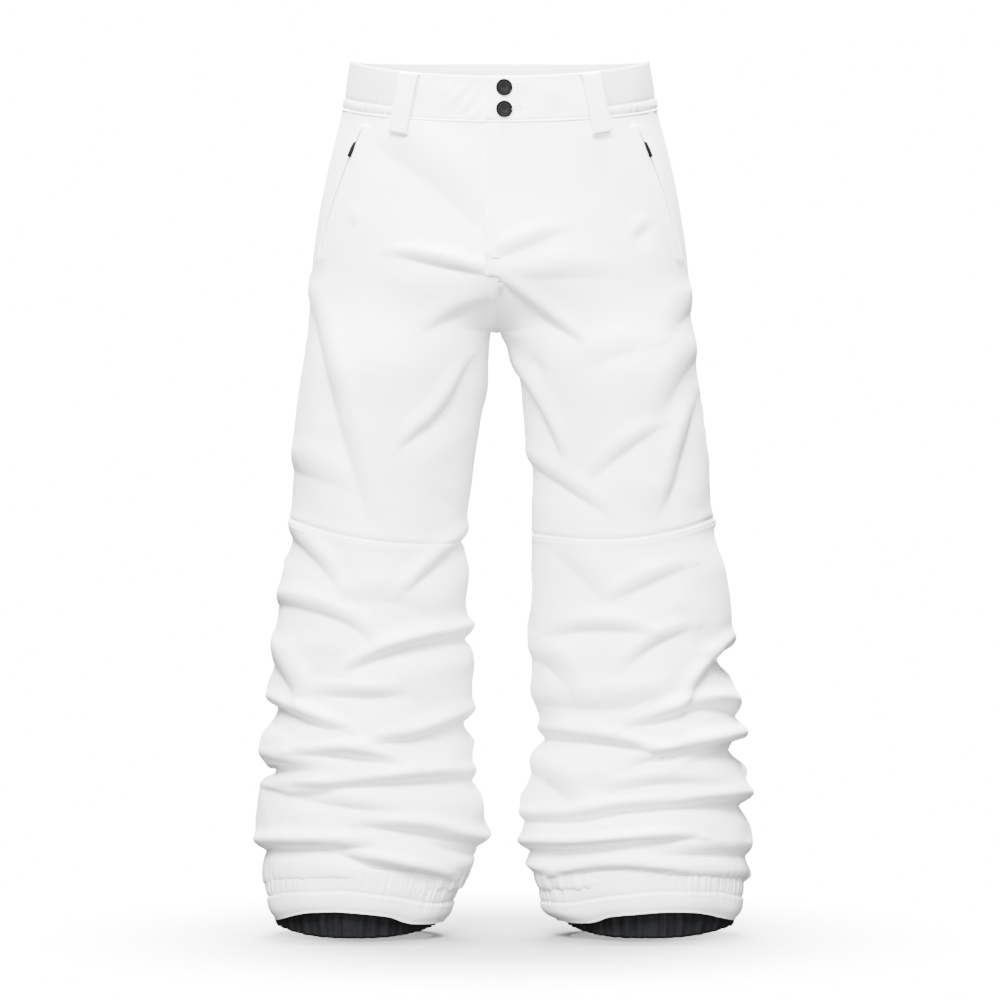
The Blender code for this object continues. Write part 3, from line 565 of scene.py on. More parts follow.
def pocketCalm(side, points):
    # 0 on the pocket's line, where the zip lies, rising to 1 away from it
    top = np.array([side * 0.143, 0.0, -0.066])
    low = np.array([side * 0.190, 0.0, -0.215])
    direction = low - top
    t = np.clip(((points - top) @ direction) / (direction @ direction), 0, 1)
    gap = points[:, [0, 2]] - (top + t[:, None] * direction)[:, [0, 2]]
    calm = smooth((np.linalg.norm(gap, axis=1) - 0.012) / 0.022)
    return np.where(points[:, 1] < 0.02, calm, 1.0)


def foldHeight(side, u, drop, points, normals):
    scale = foldLook["eye"] / (foldLook["eye"] + points[:, 1])
    level = foldLook["eyeHeight"]
    seen = np.stack([points[:, 0] * scale, level + (points[:, 2] - level) * scale], 1)
    facing = -normals[:, 1]
    frontShare = smooth((facing + 0.65) / 0.5)
    height = np.zeros(len(points))
    for path, depth, width in foldLines[side]:
        height += stroke(seen, path, depth, width) * frontShare
    behind = points[:, [0, 2]]
    backShare = smooth((-facing + 0.15) / 0.45)
    for path, depth, width in backLines[side]:
        height += stroke(behind, path, depth, width) * backShare
    stacked = smooth((drop - 0.50) / 0.18)
    calmTop = smooth((drop - 0.06) / 0.10)
    height += ripple(points, 3, 7, 0.30, 0.09, (1, 1, 1.2)) * 0.0016 * calmTop
    height += ripple(points, 5, 9, 0.16, 0.045, (0.45, 0.45, 1.0)) * (0.0005 + 0.0012 * stacked) * calmTop
    height += ripple(points, 8, 8, 0.05, 0.022, (0.5, 0.5, 1.0)) * (0.00015 + 0.00045 * stacked) * calmTop
    # small gathers where the stretch part of the waistband takes in the width
    gathers = np.sin(u * 132 + 2.0 * np.sin(u * 19)) * 0.6 + np.sin(u * 211 + 1.3) * 0.4
    atSides = smooth((u - 0.20) / 0.08)
    height += gathers * 0.0013 * atSides * np.exp(-((drop - 0.050) / 0.022) ** 2)
    # and above the cuff's elastic
    gathers = np.sin(u * 250 + 3.0 * np.sin(u * 31)) * 0.6 + np.sin(u * 402 + 2.0 * np.sin(u * 23)) * 0.5
    height += gathers * 0.0011 * smooth((drop - 0.845) / 0.03)
    height *= pocketCalm(side, points)
    return seamRelief(side, u, drop, height)


seamLook = dict(knee=0.0009, side=0.0008, width=0.0020, kneeOuter=0.484, yoke=0.115)


def kneeDrop(side, u):
    # the knee seam is lowest at the front middle and the inseam
    inner = 0.500 if side > 0 else 0.510
    middle = 0.505 if side > 0 else 0.507
    outer = seamLook["kneeOuter"]
    bow = (middle - (inner + outer) / 2) * np.sin(2 * math.pi * np.minimum(u, 0.5)) ** 2
    front = inner + (outer - inner) * smooth(u / 0.5) + bow
    back = outer + (inner - outer) * smooth((u - 0.5) / 0.5)
    return np.where(u <= 0.5, front, back)


def seamRelief(side, u, drop, height):
    def dent(gap):
        return seamLook["side"] * np.exp(-(gap / seamLook["width"]) ** 2)

    knee = np.abs(drop - kneeDrop(side, u))
    height = height - seamLook["knee"] * np.exp(-(knee / seamLook["width"]) ** 2)
    height = height + 0.0004 * np.exp(-((knee - 0.006) / 0.004) ** 2)
    across = np.where(drop > 0.33, 0.62, 0.54)
    height = height - dent((u - 0.5) * across)
    height = height - dent(np.minimum(u, 1 - u) * across) * smooth((drop - 0.235) / 0.02)
    height = height - dent((1 - u) * 0.54) * (drop < 0.25)
    return height - dent(drop - seamLook["yoke"]) * (u > 0.5) * (drop < 0.13)


def flyFlap(side, u, drop):
    # the right front lies a little lower beside the edge of the flap that laps over it
    down = 1 - smooth((drop - 0.205) / 0.020)
    return -0.0012 * np.exp(-((u - 0.0045) * 0.54 / 0.0035) ** 2) * down * (side < 0)


def clothPoint(side, u, drop, lift=0.0):
    # outer face with its folds, moved out by lift
    u, drop = np.broadcast_arrays(np.asarray(u, float), np.asarray(drop, float))
    shape = u.shape
    u = u.ravel()
    drop = drop.ravel()
    points = halfPoint(side, u, drop)
    normals = normalsOf(lambda a, d: halfPoint(side, a, d), u, drop, side)
    height = foldHeight(side, u, drop, points, normals) + flyFlap(side, u, drop)
    lift = np.broadcast_to(np.asarray(lift, float), shape).ravel()
    moved = points + normals * (height + lift)[:, None]
    least = 0.0002
    kept = side * np.maximum(side * moved[:, 0], least)
    moved[:, 0] = np.where((drop > 0.236) | (np.abs(u - 0.5) < 0.25), kept, moved[:, 0])
    return moved.reshape(*shape, 3)


# Making meshes

def newPiece(name, points, faces, finish, uv=None):
    mesh = bpy.data.meshes.new(name)
    spots = np.asarray(points, float).reshape(-1, 3).tolist()
    mesh.from_pydata(spots, [], [tuple(int(i) for i in f) for f in faces])
    if uv is not None:
        layer = mesh.uv_layers.new(name="cloth")
        loops = np.zeros(len(mesh.loops), np.int32)
        mesh.loops.foreach_get("vertex_index", loops)
        layer.data.foreach_set("uv", np.asarray(uv, np.float32).reshape(-1, 2)[loops].ravel())
    for one in (finish if isinstance(finish, (list, tuple)) else [finish]):
        mesh.materials.append(finishes[one])
    mesh.shade_smooth()
    piece = bpy.data.objects.new(name, mesh)
    bpy.context.scene.collection.objects.link(piece)
    return piece


def gridFaces(rows, columns, closed, flip, keep=None):
    across = np.arange(columns if closed else columns - 1)
    down = np.arange(rows - 1)
    r, c = np.meshgrid(down, across, indexing="ij")
    d = (c + 1) % columns
    faces = np.stack([r * columns + c, (r + 1) * columns + c, (r + 1) * columns + d, r * columns + d], -1)
    if flip:
        faces = faces[..., ::-1]
    if keep is not None:
        faces = faces[keep[: rows - 1, : len(across)]]
    return faces.reshape(-1, 4)


def applied(piece):
    # the object's mesh with its modifiers worked in
    bpy.context.view_layer.update()
    mesh = bpy.data.meshes.new_from_object(piece.evaluated_get(bpy.context.evaluated_depsgraph_get()))
    old = piece.data
    piece.modifiers.clear()
    piece.data = mesh
    bpy.data.meshes.remove(old)
    mesh.name = piece.name
    return piece


def welded(piece, distance=0.00002, outward=False):
    bm = bmesh.new()
    bm.from_mesh(piece.data)
    bmesh.ops.remove_doubles(bm, verts=bm.verts, dist=distance)
    loose = [v for v in bm.verts if not v.link_faces]
    bmesh.ops.delete(bm, geom=loose, context="VERTS")
    if outward:
        bmesh.ops.recalc_face_normals(bm, faces=bm.faces)
    bm.to_mesh(piece.data)
    bm.free()
    return piece


def walled(piece, thickness, inner=0):
    wall = piece.modifiers.new("wall", "SOLIDIFY")
    wall.thickness = thickness
    wall.offset = -1
    wall.material_offset = inner
    wall.material_offset_rim = 0
    return applied(piece)


def tubeFaces(rows, columns):
    # a closed section carried along, with a face over each end
    faces = [tuple(f) for f in gridFaces(rows, columns, True, False)]
    return faces + [tuple(range(columns)), tuple((rows - 1) * columns + i for i in range(columns))[::-1]]


def bandPiece(name, places, profile, finish, relief=None):
    # a closed section of (drop, lift) carried around the waist; relief moves it out further
    profile = np.asarray(profile, float)
    a, k = np.meshgrid(places, np.arange(len(profile)), indexing="ij")
    drop = profile[k, 0]
    lift = profile[k, 1]
    if relief is not None:
        lift = lift + relief(a, drop, lift)
    points = trunkBand(a, drop, lift)
    uv = np.stack([a * 0.6, drop + np.abs(lift)], -1)
    piece = newPiece(name, points, tubeFaces(len(places), len(profile)), finish, uv)
    piece.data.set_sharp_from_angle(angle=math.radians(50))
    return piece


def trunkBand(w, drop, lift):
    points = outlinePoint(w, drop)
    return points + normalsOf(outlinePoint, w, drop) * np.asarray(lift)[..., None]


def legBand(side):
    def surface(u, drop, lift):
        points = halfPoint(side, u, drop)
        normals = normalsOf(lambda a, d: halfPoint(side, a, d), u, drop, side)
        return points + normals * np.asarray(lift)[..., None]
    return surface


def section(top, low, outer, inner, edge, rows=10, crown=0.0):
    # rounded rectangle of (drop, lift) points: down the outer face, then up the inner one
    points = []
    for k in range(rows + 1):
        t = k / rows
        points.append((top + edge + (low - top - 2 * edge) * t, outer + crown * math.sin(math.pi * t)))
    half = (outer - inner) / 2
    for angle in (60, 30, 0, -30, -60):
        a = math.radians(angle)
        points.append((low - edge + edge * math.cos(a), (outer + inner) / 2 + half * math.sin(a)))
    for k in range(5):
        t = k / 4
        points.append((low - edge - (low - top - 2 * edge) * t, inner))
    for angle in (-60, -30, 0, 30, 60):
        a = math.radians(angle)
        points.append((top + edge - edge * math.cos(a), (outer + inner) / 2 + half * math.sin(a)))
    return points


# Stitches, teeth and other things that repeat along a line

def alongLineTree(name):
    tree = bpy.data.node_groups.new(name, "GeometryNodeTree")
    face = tree.interface
    face.new_socket(name="Line", in_out="INPUT", socket_type="NodeSocketGeometry")
    for label, value in (("Spacing", 0.003), ("Length", 0.002), ("Width", 0.0005), ("Height", 0.0005)):
        socket = face.new_socket(name=label, in_out="INPUT", socket_type="NodeSocketFloat")
        socket.default_value = value
    face.new_socket(name="Finish", in_out="INPUT", socket_type="NodeSocketMaterial")
    face.new_socket(name="Run", in_out="OUTPUT", socket_type="NodeSocketGeometry")
    nodes = tree.nodes

    def add(kind, **settings):
        node = nodes.new(kind)
        for key, value in settings.items():
            setattr(node, key, value)
        return node

    start = add("NodeGroupInput")
    end = add("NodeGroupOutput")
    curve = add("GeometryNodeMeshToCurve")
    resample = add("GeometryNodeResampleCurve", mode="LENGTH")
    tangent = add("GeometryNodeInputTangent")
    normal = add("GeometryNodeInputNamedAttribute", data_type="FLOAT_VECTOR")
    normal.inputs["Name"].default_value = "outward"
    turnA = add("FunctionNodeAlignRotationToVector", axis="X")
    turnB = add("FunctionNodeAlignRotationToVector", axis="Z", pivot_axis="X")
    bead = add("GeometryNodeMeshUVSphere")
    bead.inputs["Segments"].default_value = 8
    bead.inputs["Rings"].default_value = 4
    bead.inputs["Radius"].default_value = 0.5
    size = add("ShaderNodeCombineXYZ")
    scatter = add("GeometryNodeInstanceOnPoints")
    realize = add("GeometryNodeRealizeInstances")
    paint = add("GeometryNodeSetMaterial")
    smoothIt = add("GeometryNodeSetShadeSmooth")
    links = tree.links
    links.new(start.outputs["Line"], curve.inputs[0])
    links.new(curve.outputs[0], resample.inputs["Curve"])
    links.new(start.outputs["Spacing"], resample.inputs["Length"])
    links.new(resample.outputs[0], scatter.inputs["Points"])
    links.new(tangent.outputs[0], turnA.inputs["Vector"])
    links.new(turnA.outputs[0], turnB.inputs["Rotation"])
    links.new(normal.outputs["Attribute"], turnB.inputs["Vector"])
    links.new(turnB.outputs[0], scatter.inputs["Rotation"])
    links.new(bead.outputs["Mesh"], scatter.inputs["Instance"])
    links.new(start.outputs["Length"], size.inputs[0])
    links.new(start.outputs["Width"], size.inputs[1])
    links.new(start.outputs["Height"], size.inputs[2])
    links.new(size.outputs[0], scatter.inputs["Scale"])
    links.new(scatter.outputs[0], realize.inputs[0])
    links.new(realize.outputs[0], smoothIt.inputs[0])
    links.new(smoothIt.outputs[0], paint.inputs["Geometry"])
    links.new(start.outputs["Finish"], paint.inputs["Material"])
    links.new(paint.outputs[0], end.inputs[0])
    return tree


beadTree = alongLineTree("beads_along_a_line")


def beads(name, lines, normals, look, finish):
    # one bead at each step of every line; lines and normals are lists of (n, 3) arrays
    points = np.concatenate(lines)
    edges = []
    first = 0
    for line in lines:
        edges += [(first + i, first + i + 1) for i in range(len(line) - 1)]
        first += len(line)
    mesh = bpy.data.meshes.new(name)
    mesh.from_pydata(points.tolist(), edges, [])
    outward = mesh.attributes.new("outward", "FLOAT_VECTOR", "POINT")
    outward.data.foreach_set("vector", np.concatenate(normals).astype(np.float32).ravel())
    piece = bpy.data.objects.new(name, mesh)
    bpy.context.scene.collection.objects.link(piece)
    run = piece.modifiers.new("run", "NODES")
    run.node_group = beadTree
    values = {"Spacing": look["spacing"], "Length": look["length"], "Width": look["width"],
              "Height": look["height"], "Finish": finishes[finish]}
    for item in beadTree.interface.items_tree:
        if item.in_out == "INPUT" and item.name in values:
            run[item.identifier] = values[item.name]
    return applied(piece)


stitchLook = dict(spacing=0.0031, length=0.0025, width=0.00055, height=0.0005, lift=0.0003)


# The hem: where its upper ridge and its lower edge lie around the leg

hemShape = dict(
    # u, drop of the lower edge
    edge=np.array([(0.000, 0.9120), (0.138, 0.9085), (0.157, 0.9065), (0.189, 0.9000), (0.228, 0.8965),
                   (0.291, 0.8940), (0.330, 0.8952), (0.362, 0.8985), (0.406, 0.9040), (0.450, 0.9080),
                   (0.500, 0.9100), (0.600, 0.9120), (0.750, 0.9125), (0.900, 0.9120), (1.000, 0.9120)]),
    ridge=np.array([(0.000, 0.8880), (0.120, 0.8850), (0.200, 0.8760), (0.280, 0.8705), (0.360, 0.8730),
                    (0.440, 0.8800), (0.500, 0.8845), (0.650, 0.8860), (0.850, 0.8880), (1.000, 0.8880)]),
)


def hemDrop(u):
    return through(hemShape["edge"], 1, np.asarray(u) % 1.0)


def ridgeDrop(u):
    return through(hemShape["ridge"], 1, np.asarray(u) % 1.0)


# Legs and seat: two large cloths on each side, which meet in the knee seam

legLook = dict(columns=214, upperRows=196, lowerRows=184, wall=0.0025, top=0.0542,
               slotHalf=0.0064,
               hipStart=0.300, hipReach=0.140, kneeStart=0.515, kneeEnd=0.665)


def legColumns(count):
    even = np.linspace(0, 1, count)
    near = np.array([0.0014, 0.0032, 0.0052])
    return np.unique(np.round(np.concatenate([even, 0.5 - near, 0.5 + near, near, 1 - near]), 5))


def legRows(count, fineAt):
    even = np.linspace(0, 1, count)
    near = np.array([0.0018, 0.004, 0.0068, 0.0100])
    return np.unique(np.concatenate([even, near if fineAt == 0 else 1 - near]))


def pocketSlot(side, points):
    # True for the places that lie in the pocket's slit
    place, length = zipPlace(*pocketEnds(side), 0)
    inverse = np.array(place.inverted())
    local = points @ inverse[:3, :3].T + inverse[:3, 3]
    beside = np.abs(local[..., 0])
    along = local[..., 2]
    inside = (beside < legLook["slotHalf"]) & (along < 0.001) & (along > -length - 0.001)
    return inside & (points[..., 1] < 0.03)


def legCloth(name, side, topAt, lowAt, rows, fineAt, lift=None, holes=None):
    us = legColumns(legLook["columns"])
    vs = legRows(rows, fineAt)
    u, v = np.meshgrid(us, vs)
    drop = topAt(u) + (lowAt(u) - topAt(u)) * v
    points = clothPoint(side, u, drop, 0.0 if lift is None else lift(u, drop))
    keep = None
    if holes is not None:
        middles = (points[:-1, :-1] + points[1:, :-1] + points[:-1, 1:] + points[1:, 1:]) / 4
        keep = ~holes(side, middles)
    faces = gridFaces(len(vs), len(us), False, side < 0, keep)
    around = np.where(drop > 0.31, 0.62, 0.54) * (u - 0.5)
    piece = newPiece(name, points, faces, ["shell", "lining"], np.stack([around, drop], -1))
    welded(piece)
    piece.data.shade_smooth()
    return walled(piece, legLook["wall"], 1)


def tuckedIn(u, drop):
    # the lower end of the leg goes behind the cuff's gathers
    return -0.0050 * smooth((drop - ridgeDrop(u) + 0.016) / 0.011)


pieces = {}
for side in (1, -1):
    name = sideName[side]
    upper = legCloth(f"seat_and_thigh_{name}", side, lambda u: legLook["top"] + 0 * u,
                     lambda u: kneeDrop(side, u), legLook["upperRows"], 1, holes=pocketSlot)
    lower = legCloth(f"lower_leg_{name}", side, lambda u: kneeDrop(side, u), lambda u: ridgeDrop(u) - 0.004,
                     legLook["lowerRows"], 0, tuckedIn)
    pieces[f"upper{side}"] = upper
    pieces[f"lower{side}"] = lower
print("legs made")

gussetLook = dict(top=0.228, low=0.2870, steps=26)
crotchLines = {}
for side in (1, -1):
    drops = np.linspace(gussetLook["top"], gussetLook["low"], gussetLook["steps"])
    front = clothPoint(side, np.zeros(len(drops)), drops, -0.0012)
    back = clothPoint(side, np.ones(len(drops)), drops[::-1], -0.0012)
    crotchLines[side] = np.concatenate([front, back])
shares = np.linspace(0, 1, 9)[None, :, None]
strip = crotchLines[-1][:, None] * (1 - shares) + crotchLines[1][:, None] * shares
widths = np.linalg.norm(crotchLines[1] - crotchLines[-1], axis=1)
strip[..., 2] -= (0.12 * widths[:, None]) * np.sin(math.pi * shares[..., 0])
gusset = newPiece("crotch_gusset_cloth", strip, gridFaces(strip.shape[0], 9, False, False),
                  ["shell", "lining"], strip[..., [0, 1]])
pieces["gusset"] = walled(gusset, 0.0024, 1)


# Waistband

bandLook = dict(height=0.0505, cloth=0.0020, join=0.225, backJoin=0.75, lap=-0.0253, underlap=0.060,
                gap=0.0003)


def bandUnevenness(w, drop, lift):
    # long shallow waves, small ripples on the right front beside the fly, and a rise along the lap's edge
    wave = 0.0006 * np.sin(w * 61 + drop * 70) + 0.0005 * np.sin(w * 29 - drop * 120 + 1.0)
    pulled = 0.0009 * np.sin(w * 190 + drop * 260) * np.exp(-((w + 0.075) / 0.035) ** 2)
    lap = 0.0013 * np.exp(-((w - bandLook["lap"]) / 0.010) ** 2)
    shape = np.sin(math.pi * np.clip(drop / bandLook["height"], 0, 1)) ** 0.5
    return (wave + pulled) * shape * (lift > -0.0012) + lap * (w >= bandLook["lap"] - 0.0001)


def tuckedUnder(w, drop, lift):
    under = bandLook["cloth"] + 2 * bandLook["gap"]
    wave = bandUnevenness(np.minimum(w, bandLook["lap"] - 0.001), drop, lift)
    return wave - under * smooth((w - 2 * bandLook["lap"]) / (-0.6 * bandLook["lap"]))


frontSection = section(0.0, bandLook["height"], 0.0004, -bandLook["cloth"], 0.0011, 14, 0.0004)
for key, name, low, high, steps, relief in (
        ("bandLeft", "front_left", bandLook["lap"], bandLook["join"], 90, bandUnevenness),
        ("bandRight", "front_right", -bandLook["join"], bandLook["underlap"], 100, tuckedUnder),
        ("bandBack", "back", bandLook["backJoin"], 2 - bandLook["backJoin"], 90, bandUnevenness)):
    places = np.linspace(low, high, steps)
    pieces[key] = bandPiece(f"waistband_{name}_cloth", places, frontSection, "band", relief)


def casingSection():
    # smooth knit above, a stitched groove, then a fuller strip along the bottom
    outer = []
    for k in range(25):
        drop = 0.0010 + (0.0497 - 0.0010) * k / 24
        lift = 0.0006 * math.sin(math.pi * min(1, drop / 0.0385))
        lift += -0.0010 * math.exp(-((drop - 0.0390) / 0.0011) ** 2)
        lift += 0.0012 * math.sin(math.pi * min(1, max(0, (drop - 0.0397) / 0.0108)))
        outer.append((drop, lift))
    return outer + [(0.0505, -0.0006), (0.0503, -0.0018), (0.036, -0.0020), (0.018, -0.0020),
                    (0.0008, -0.0018), (0.0, -0.0008)]


def casingUnevenness(w, drop, lift):
    gather = 0.0004 * np.sin(w * 190 + 3 * np.sin(w * 23)) + 0.0003 * np.sin(w * 333 + 1)
    low = smooth((drop - 0.0385) / 0.006)
    return (gather * (0.25 + 0.6 * low) + 0.0005 * np.sin(w * 37 + drop * 50)) * (lift > -0.0016)


for side in (1, -1):
    name = sideName[side]
    ws = side * np.linspace(bandLook["join"], bandLook["backJoin"], 200)
    ws = ws if side > 0 else ws[::-1]
    casing = casingSection()
    pieces[f"casing{side}"] = bandPiece(f"stretch_waist_{name}", ws, casing, "knit", casingUnevenness)
    core = section(0.006, 0.044, -0.0024, -0.0035, 0.0004, 6)
    pieces[f"core{side}"] = bandPiece(f"waist_elastic_{name}", ws[6:-6:3], core, "webbing")

facingSection = section(0.0004, 0.0501, -0.0041, -0.0053, 0.0005, 8)
facingPlaces = np.linspace(bandLook["underlap"] + 0.012, 2 + 2.4 * bandLook["lap"], 160)
pieces["facing"] = bandPiece("waistband_facing_lining", facingPlaces, facingSection, "lining")


def pipingWave(w, drop, lift):
    sides = smooth((np.abs(np.abs((w + 1) % 2 - 1) - 0.5) - 0.24) / 0.03)
    return (1 - sides) * 0.0002 * np.sin(w * 260 + 2 * np.sin(w * 41)) * (lift > 0)


pipingSection = [(0.0522 - 0.0016 * math.cos(a), 0.0002 + 0.0010 * math.sin(a))
                 for a in np.linspace(0, math.pi, 9)]
pipingSection += [(0.0538, -0.0016), (0.0522, -0.0019), (0.0506, -0.0016)]
pipingPlaces = np.linspace(bandLook["lap"], 2 + bandLook["lap"] - 0.002, 420)
pieces["piping"] = bandPiece("waist_seam_ridge", pipingPlaces, pipingSection, "shell", pipingWave)
print("waistband made")


# Belt loops: straps whose ends are turned in, standing off the band so that a belt fits

loopLook = dict(width=0.021, cloth=0.0018, gap=0.0074, top=0.002, length=0.064, slant=math.radians(8),
                frontPlace=0.192, backPlace=0.780, crown=0.0005, bow=0.0006)


def loopPlace(w, slant):
    start = frameAt(w, loopLook["top"])
    inverse = start.inverted()
    worst = 0.0
    for half in (-loopLook["width"] / 2, 0, loopLook["width"] / 2):
        for step in range(9):
            sample = start @ Vector((half, 0, -loopLook["length"] * step / 8))
            local = inverse @ sample
            near = [inverse @ Vector(outlinePoint(w + k * 0.004, loopLook["top"] - local.z))
                    for k in range(-12, 13)]
            best = min(near, key=lambda p: abs(p.x - local.x))
            worst = max(worst, local.y - best.y)
    return start @ Matrix.Translation((0, -worst, 0)) @ Matrix.Rotation(-slant, 4, "Y")


def beltLoop(name, w, slant):
    place = loopPlace(w, slant)
    look = loopLook
    out = look["gap"] + look["cloth"] / 2
    bend = out - 0.0016
    path = [(0.0014, -0.0016), (0.0024, -0.0010)]
    path += [(bend + 0.0016 * math.sin(a), -0.0026 + 0.0017 * math.cos(a))
             for a in np.linspace(0.2, math.pi / 2, 6)]
    path += [(out + look["bow"] * math.sin(math.pi * t), -0.0026 - (look["length"] - 0.0052) * t)
             for t in np.linspace(0.03, 0.97, 26)]
    low = -look["length"] + look["cloth"] / 2
    path += [(bend + 0.0016 * math.cos(a), low + 0.0017 - 0.0017 * math.sin(a))
             for a in np.linspace(0, math.pi / 2 - 0.1, 6)]
    path += [(0.0050, low), (0.0030, low + 0.0002)]
    path = np.array(path)
    tangent = np.gradient(path, axis=0)
    normal = np.stack([-tangent[:, 1], tangent[:, 0]], 1)
    normal /= np.linalg.norm(normal, axis=1)[:, None]
    half = look["width"] / 2
    ring = []
    for k in range(13):
        t = k / 12 * 2 - 1
        raised = look["cloth"] / 2 * (1 - 0.25 * abs(t) ** 6) + look["crown"] * (1 - t * t)
        ring.append((half * t * 0.985, raised))
    ring += [(half, look["cloth"] * 0.1), (half, -look["cloth"] * 0.1)]
    for k in range(7):
        t = 1 - k / 6 * 2
        ring.append((half * t * 0.985, -look["cloth"] / 2 * (1 - 0.25 * abs(t) ** 6)))
    ring += [(-half, -look["cloth"] * 0.1), (-half, look["cloth"] * 0.1)]
    ring = np.array(ring)
    spots = path[:, None, :] + normal[:, None, :] * ring[None, :, 1, None] * -1
    local = np.stack([np.broadcast_to(ring[None, :, 0], spots.shape[:2]), -spots[..., 0], spots[..., 1],
                      np.ones(spots.shape[:2])], -1)
    points = (local @ np.array(place).T)[..., :3]
    faces = tubeFaces(len(path), len(ring))
    lengths = np.concatenate([[0], np.cumsum(np.linalg.norm(np.diff(path, axis=0), axis=1))])
    uv = np.stack(np.broadcast_arrays(ring[None, :, 0], lengths[:, None]), -1)
    piece = newPiece(name, points, faces, "band", uv)
    welded(piece, 0.000005, outward=True)
    piece.data.shade_smooth()
    piece.data.set_sharp_from_angle(angle=math.radians(60))
    return piece, place


loopPlaces = {
    "front_left": (loopLook["frontPlace"], loopLook["slant"]),
    "front_right": (-loopLook["frontPlace"], -loopLook["slant"]),
    "back_left": (loopLook["backPlace"], 0),
    "back_right": (-loopLook["backPlace"], 0),
}
loops = {key: beltLoop(f"belt_loop_{key}_strap", *value) for key, value in loopPlaces.items()}
print("belt loops made")


# Hem cuffs and snow gaiters

cuffLook = dict(cloth=0.0034, gathers=0.024, ruche=0.0008)


def cuffPoints(side, us):
    # rows of (drop, lift) for each place: tucked top, gathers, ridge, smooth band, rolled hem, inner wall
    rows = []
    ridge = ridgeDrop(us)
    top = ridge - cuffLook["gathers"]
    hem = hemDrop(us)
    ruche = (0.55 * np.sin(us * 2 * math.pi * 47 + 3 * np.sin(us * 2 * math.pi * 5))
             + 0.45 * np.sin(us * 2 * math.pi * 71 + 2 * np.sin(us * 2 * math.pi * 9) + 1)
             + 0.3 * np.sin(us * 2 * math.pi * 113 + 2))
    patch = 0.6 + 0.4 * np.sin(us * 2 * math.pi * 3 + side)
    wave = 0.0010 * np.sin(us * 2 * math.pi * 4 + side) + 0.0007 * np.sin(us * 2 * math.pi * 9 + 2)
    for k in range(17):
        t = k / 16
        shape = math.sin(math.pi * t) ** 0.6
        gather = cuffLook["ruche"] * ruche * patch * shape
        rows.append((top + (ridge - top) * t, -0.0040 + 0.0030 * t + 0.0016 * shape + gather + wave * t))
    rows.append((ridge + 0.0010, -0.0016 + 0.0005 * ruche * patch + wave))
    for k in range(19):
        t = k / 18
        turn = 0.0035 * np.abs(np.cos(2 * math.pi * us)) ** 2 * max(0.0, t - 0.4) ** 2 / 0.36
        puff = 0.0010 * math.sin(math.pi * min(1, 0.12 + t)) ** 0.5 - 0.0018 * t**3 - turn
        fade = (1 - t) ** 3
        start = ridge + 0.0026
        rows.append((start + (hem - 0.0018 - start) * t, puff + 0.0005 * ruche * patch * fade + wave))
    corner = 0.0035 * np.abs(np.cos(2 * math.pi * us)) ** 2
    rows.append((hem - 0.0006, -0.0016 - corner + wave))
    rows.append((hem, -0.0028 - corner + wave))
    rows.append((hem - 0.0004, -0.0042 - corner + wave))
    for k in range(6):
        t = k / 5
        rows.append((hem - 0.003 - (hem - 0.003 - top) * t, -0.0062 + wave * (1 - t)))
    rows.append((top - 0.0002, -0.0050 + 0 * us))
    drop = np.stack([r[0] + 0 * us for r in rows], 1)
    lift = np.stack([r[1] + 0 * us for r in rows], 1)
    return drop, lift


def ringPiece(name, side, us, drop, lift, finish):
    u = np.broadcast_to(us[:, None], drop.shape)
    points = legBand(side)(u, drop, lift)
    columns = drop.shape[1]
    faces = gridFaces(len(us) + 1, columns, True, side < 0) % (len(us) * columns)
    return newPiece(name, points, faces, finish, np.stack([u * 0.6, drop], -1))


gaiterLook = dict(keys=np.array([(0.800, 0.0185), (0.860, 0.0170), (0.895, 0.0135), (0.9245, 0.0175)]),
                  cloth=0.0009, rows=46)


def gaiterLift(u, drop):
    depth = through(gaiterLook["keys"], 1, drop)
    low = smooth((drop - 0.880) / 0.035)
    pleat = (0.6 * np.sin(u * 2 * math.pi * 31 + 2.5 * np.sin(u * 2 * math.pi * 4))
             + 0.5 * np.sin(u * 2 * math.pi * 53 + 2 * np.sin(u * 2 * math.pi * 7) + 1))
    fold = 0.0010 * np.sin(drop * 210 + 3 * np.sin(u * 2 * math.pi * 3)) * (1 - low)
    wider = 0.0085 * np.exp(-((u - 0.5) / 0.11) ** 2)
    wider = (wider + 0.0020 * np.exp(-((np.abs(u - 0.5) - 0.5) / 0.10) ** 2)) * low
    return -depth + wider + 0.0012 * pleat * low + fold


def gaiterEdge(u, drop):
    # the lower edge is highest at the outer and inner leg
    return 0.0085 * np.abs(np.cos(2 * math.pi * u)) ** 3 * smooth((drop - 0.86) / 0.06)


for side in (1, -1):
    name = sideName[side]
    us = np.arange(640) / 640
    drop, lift = cuffPoints(side, us)
    pieces[f"cuff{side}"] = ringPiece(f"hem_cuff_{name}_cloth", side, us, drop, lift, "shell")
    us = np.arange(360) / 360
    u, drop = np.meshgrid(us, np.linspace(0.802, 0.9230, gaiterLook["rows"]), indexing="ij")
    points = legBand(side)(u, drop - gaiterEdge(u, drop), gaiterLift(u, drop))
    faces = gridFaces(361, gaiterLook["rows"], False, side < 0) % (360 * gaiterLook["rows"])
    gaiter = newPiece(f"snow_gaiter_{name}_cloth", points, faces, "gaiter", np.stack([u * 0.6, drop], -1))
    welded(gaiter)
    pieces[f"gaiter{side}"] = walled(gaiter, gaiterLook["cloth"])
    rows = np.array(section(0.9145, 0.9232, -0.0011, -0.0030, 0.0006, 6))
    u, k = np.meshgrid(us[::2], np.arange(len(rows)), indexing="ij")
    lift = gaiterLift(u, rows[k, 0]) + rows[k, 1]
    drop = rows[k, 0] - gaiterEdge(u, rows[k, 0])
    pieces[f"grip{side}"] = ringPiece(f"gaiter_grip_{name}_band", side, us[::2], drop, lift, "grip")
print("cuffs and gaiters made")


# Buttons

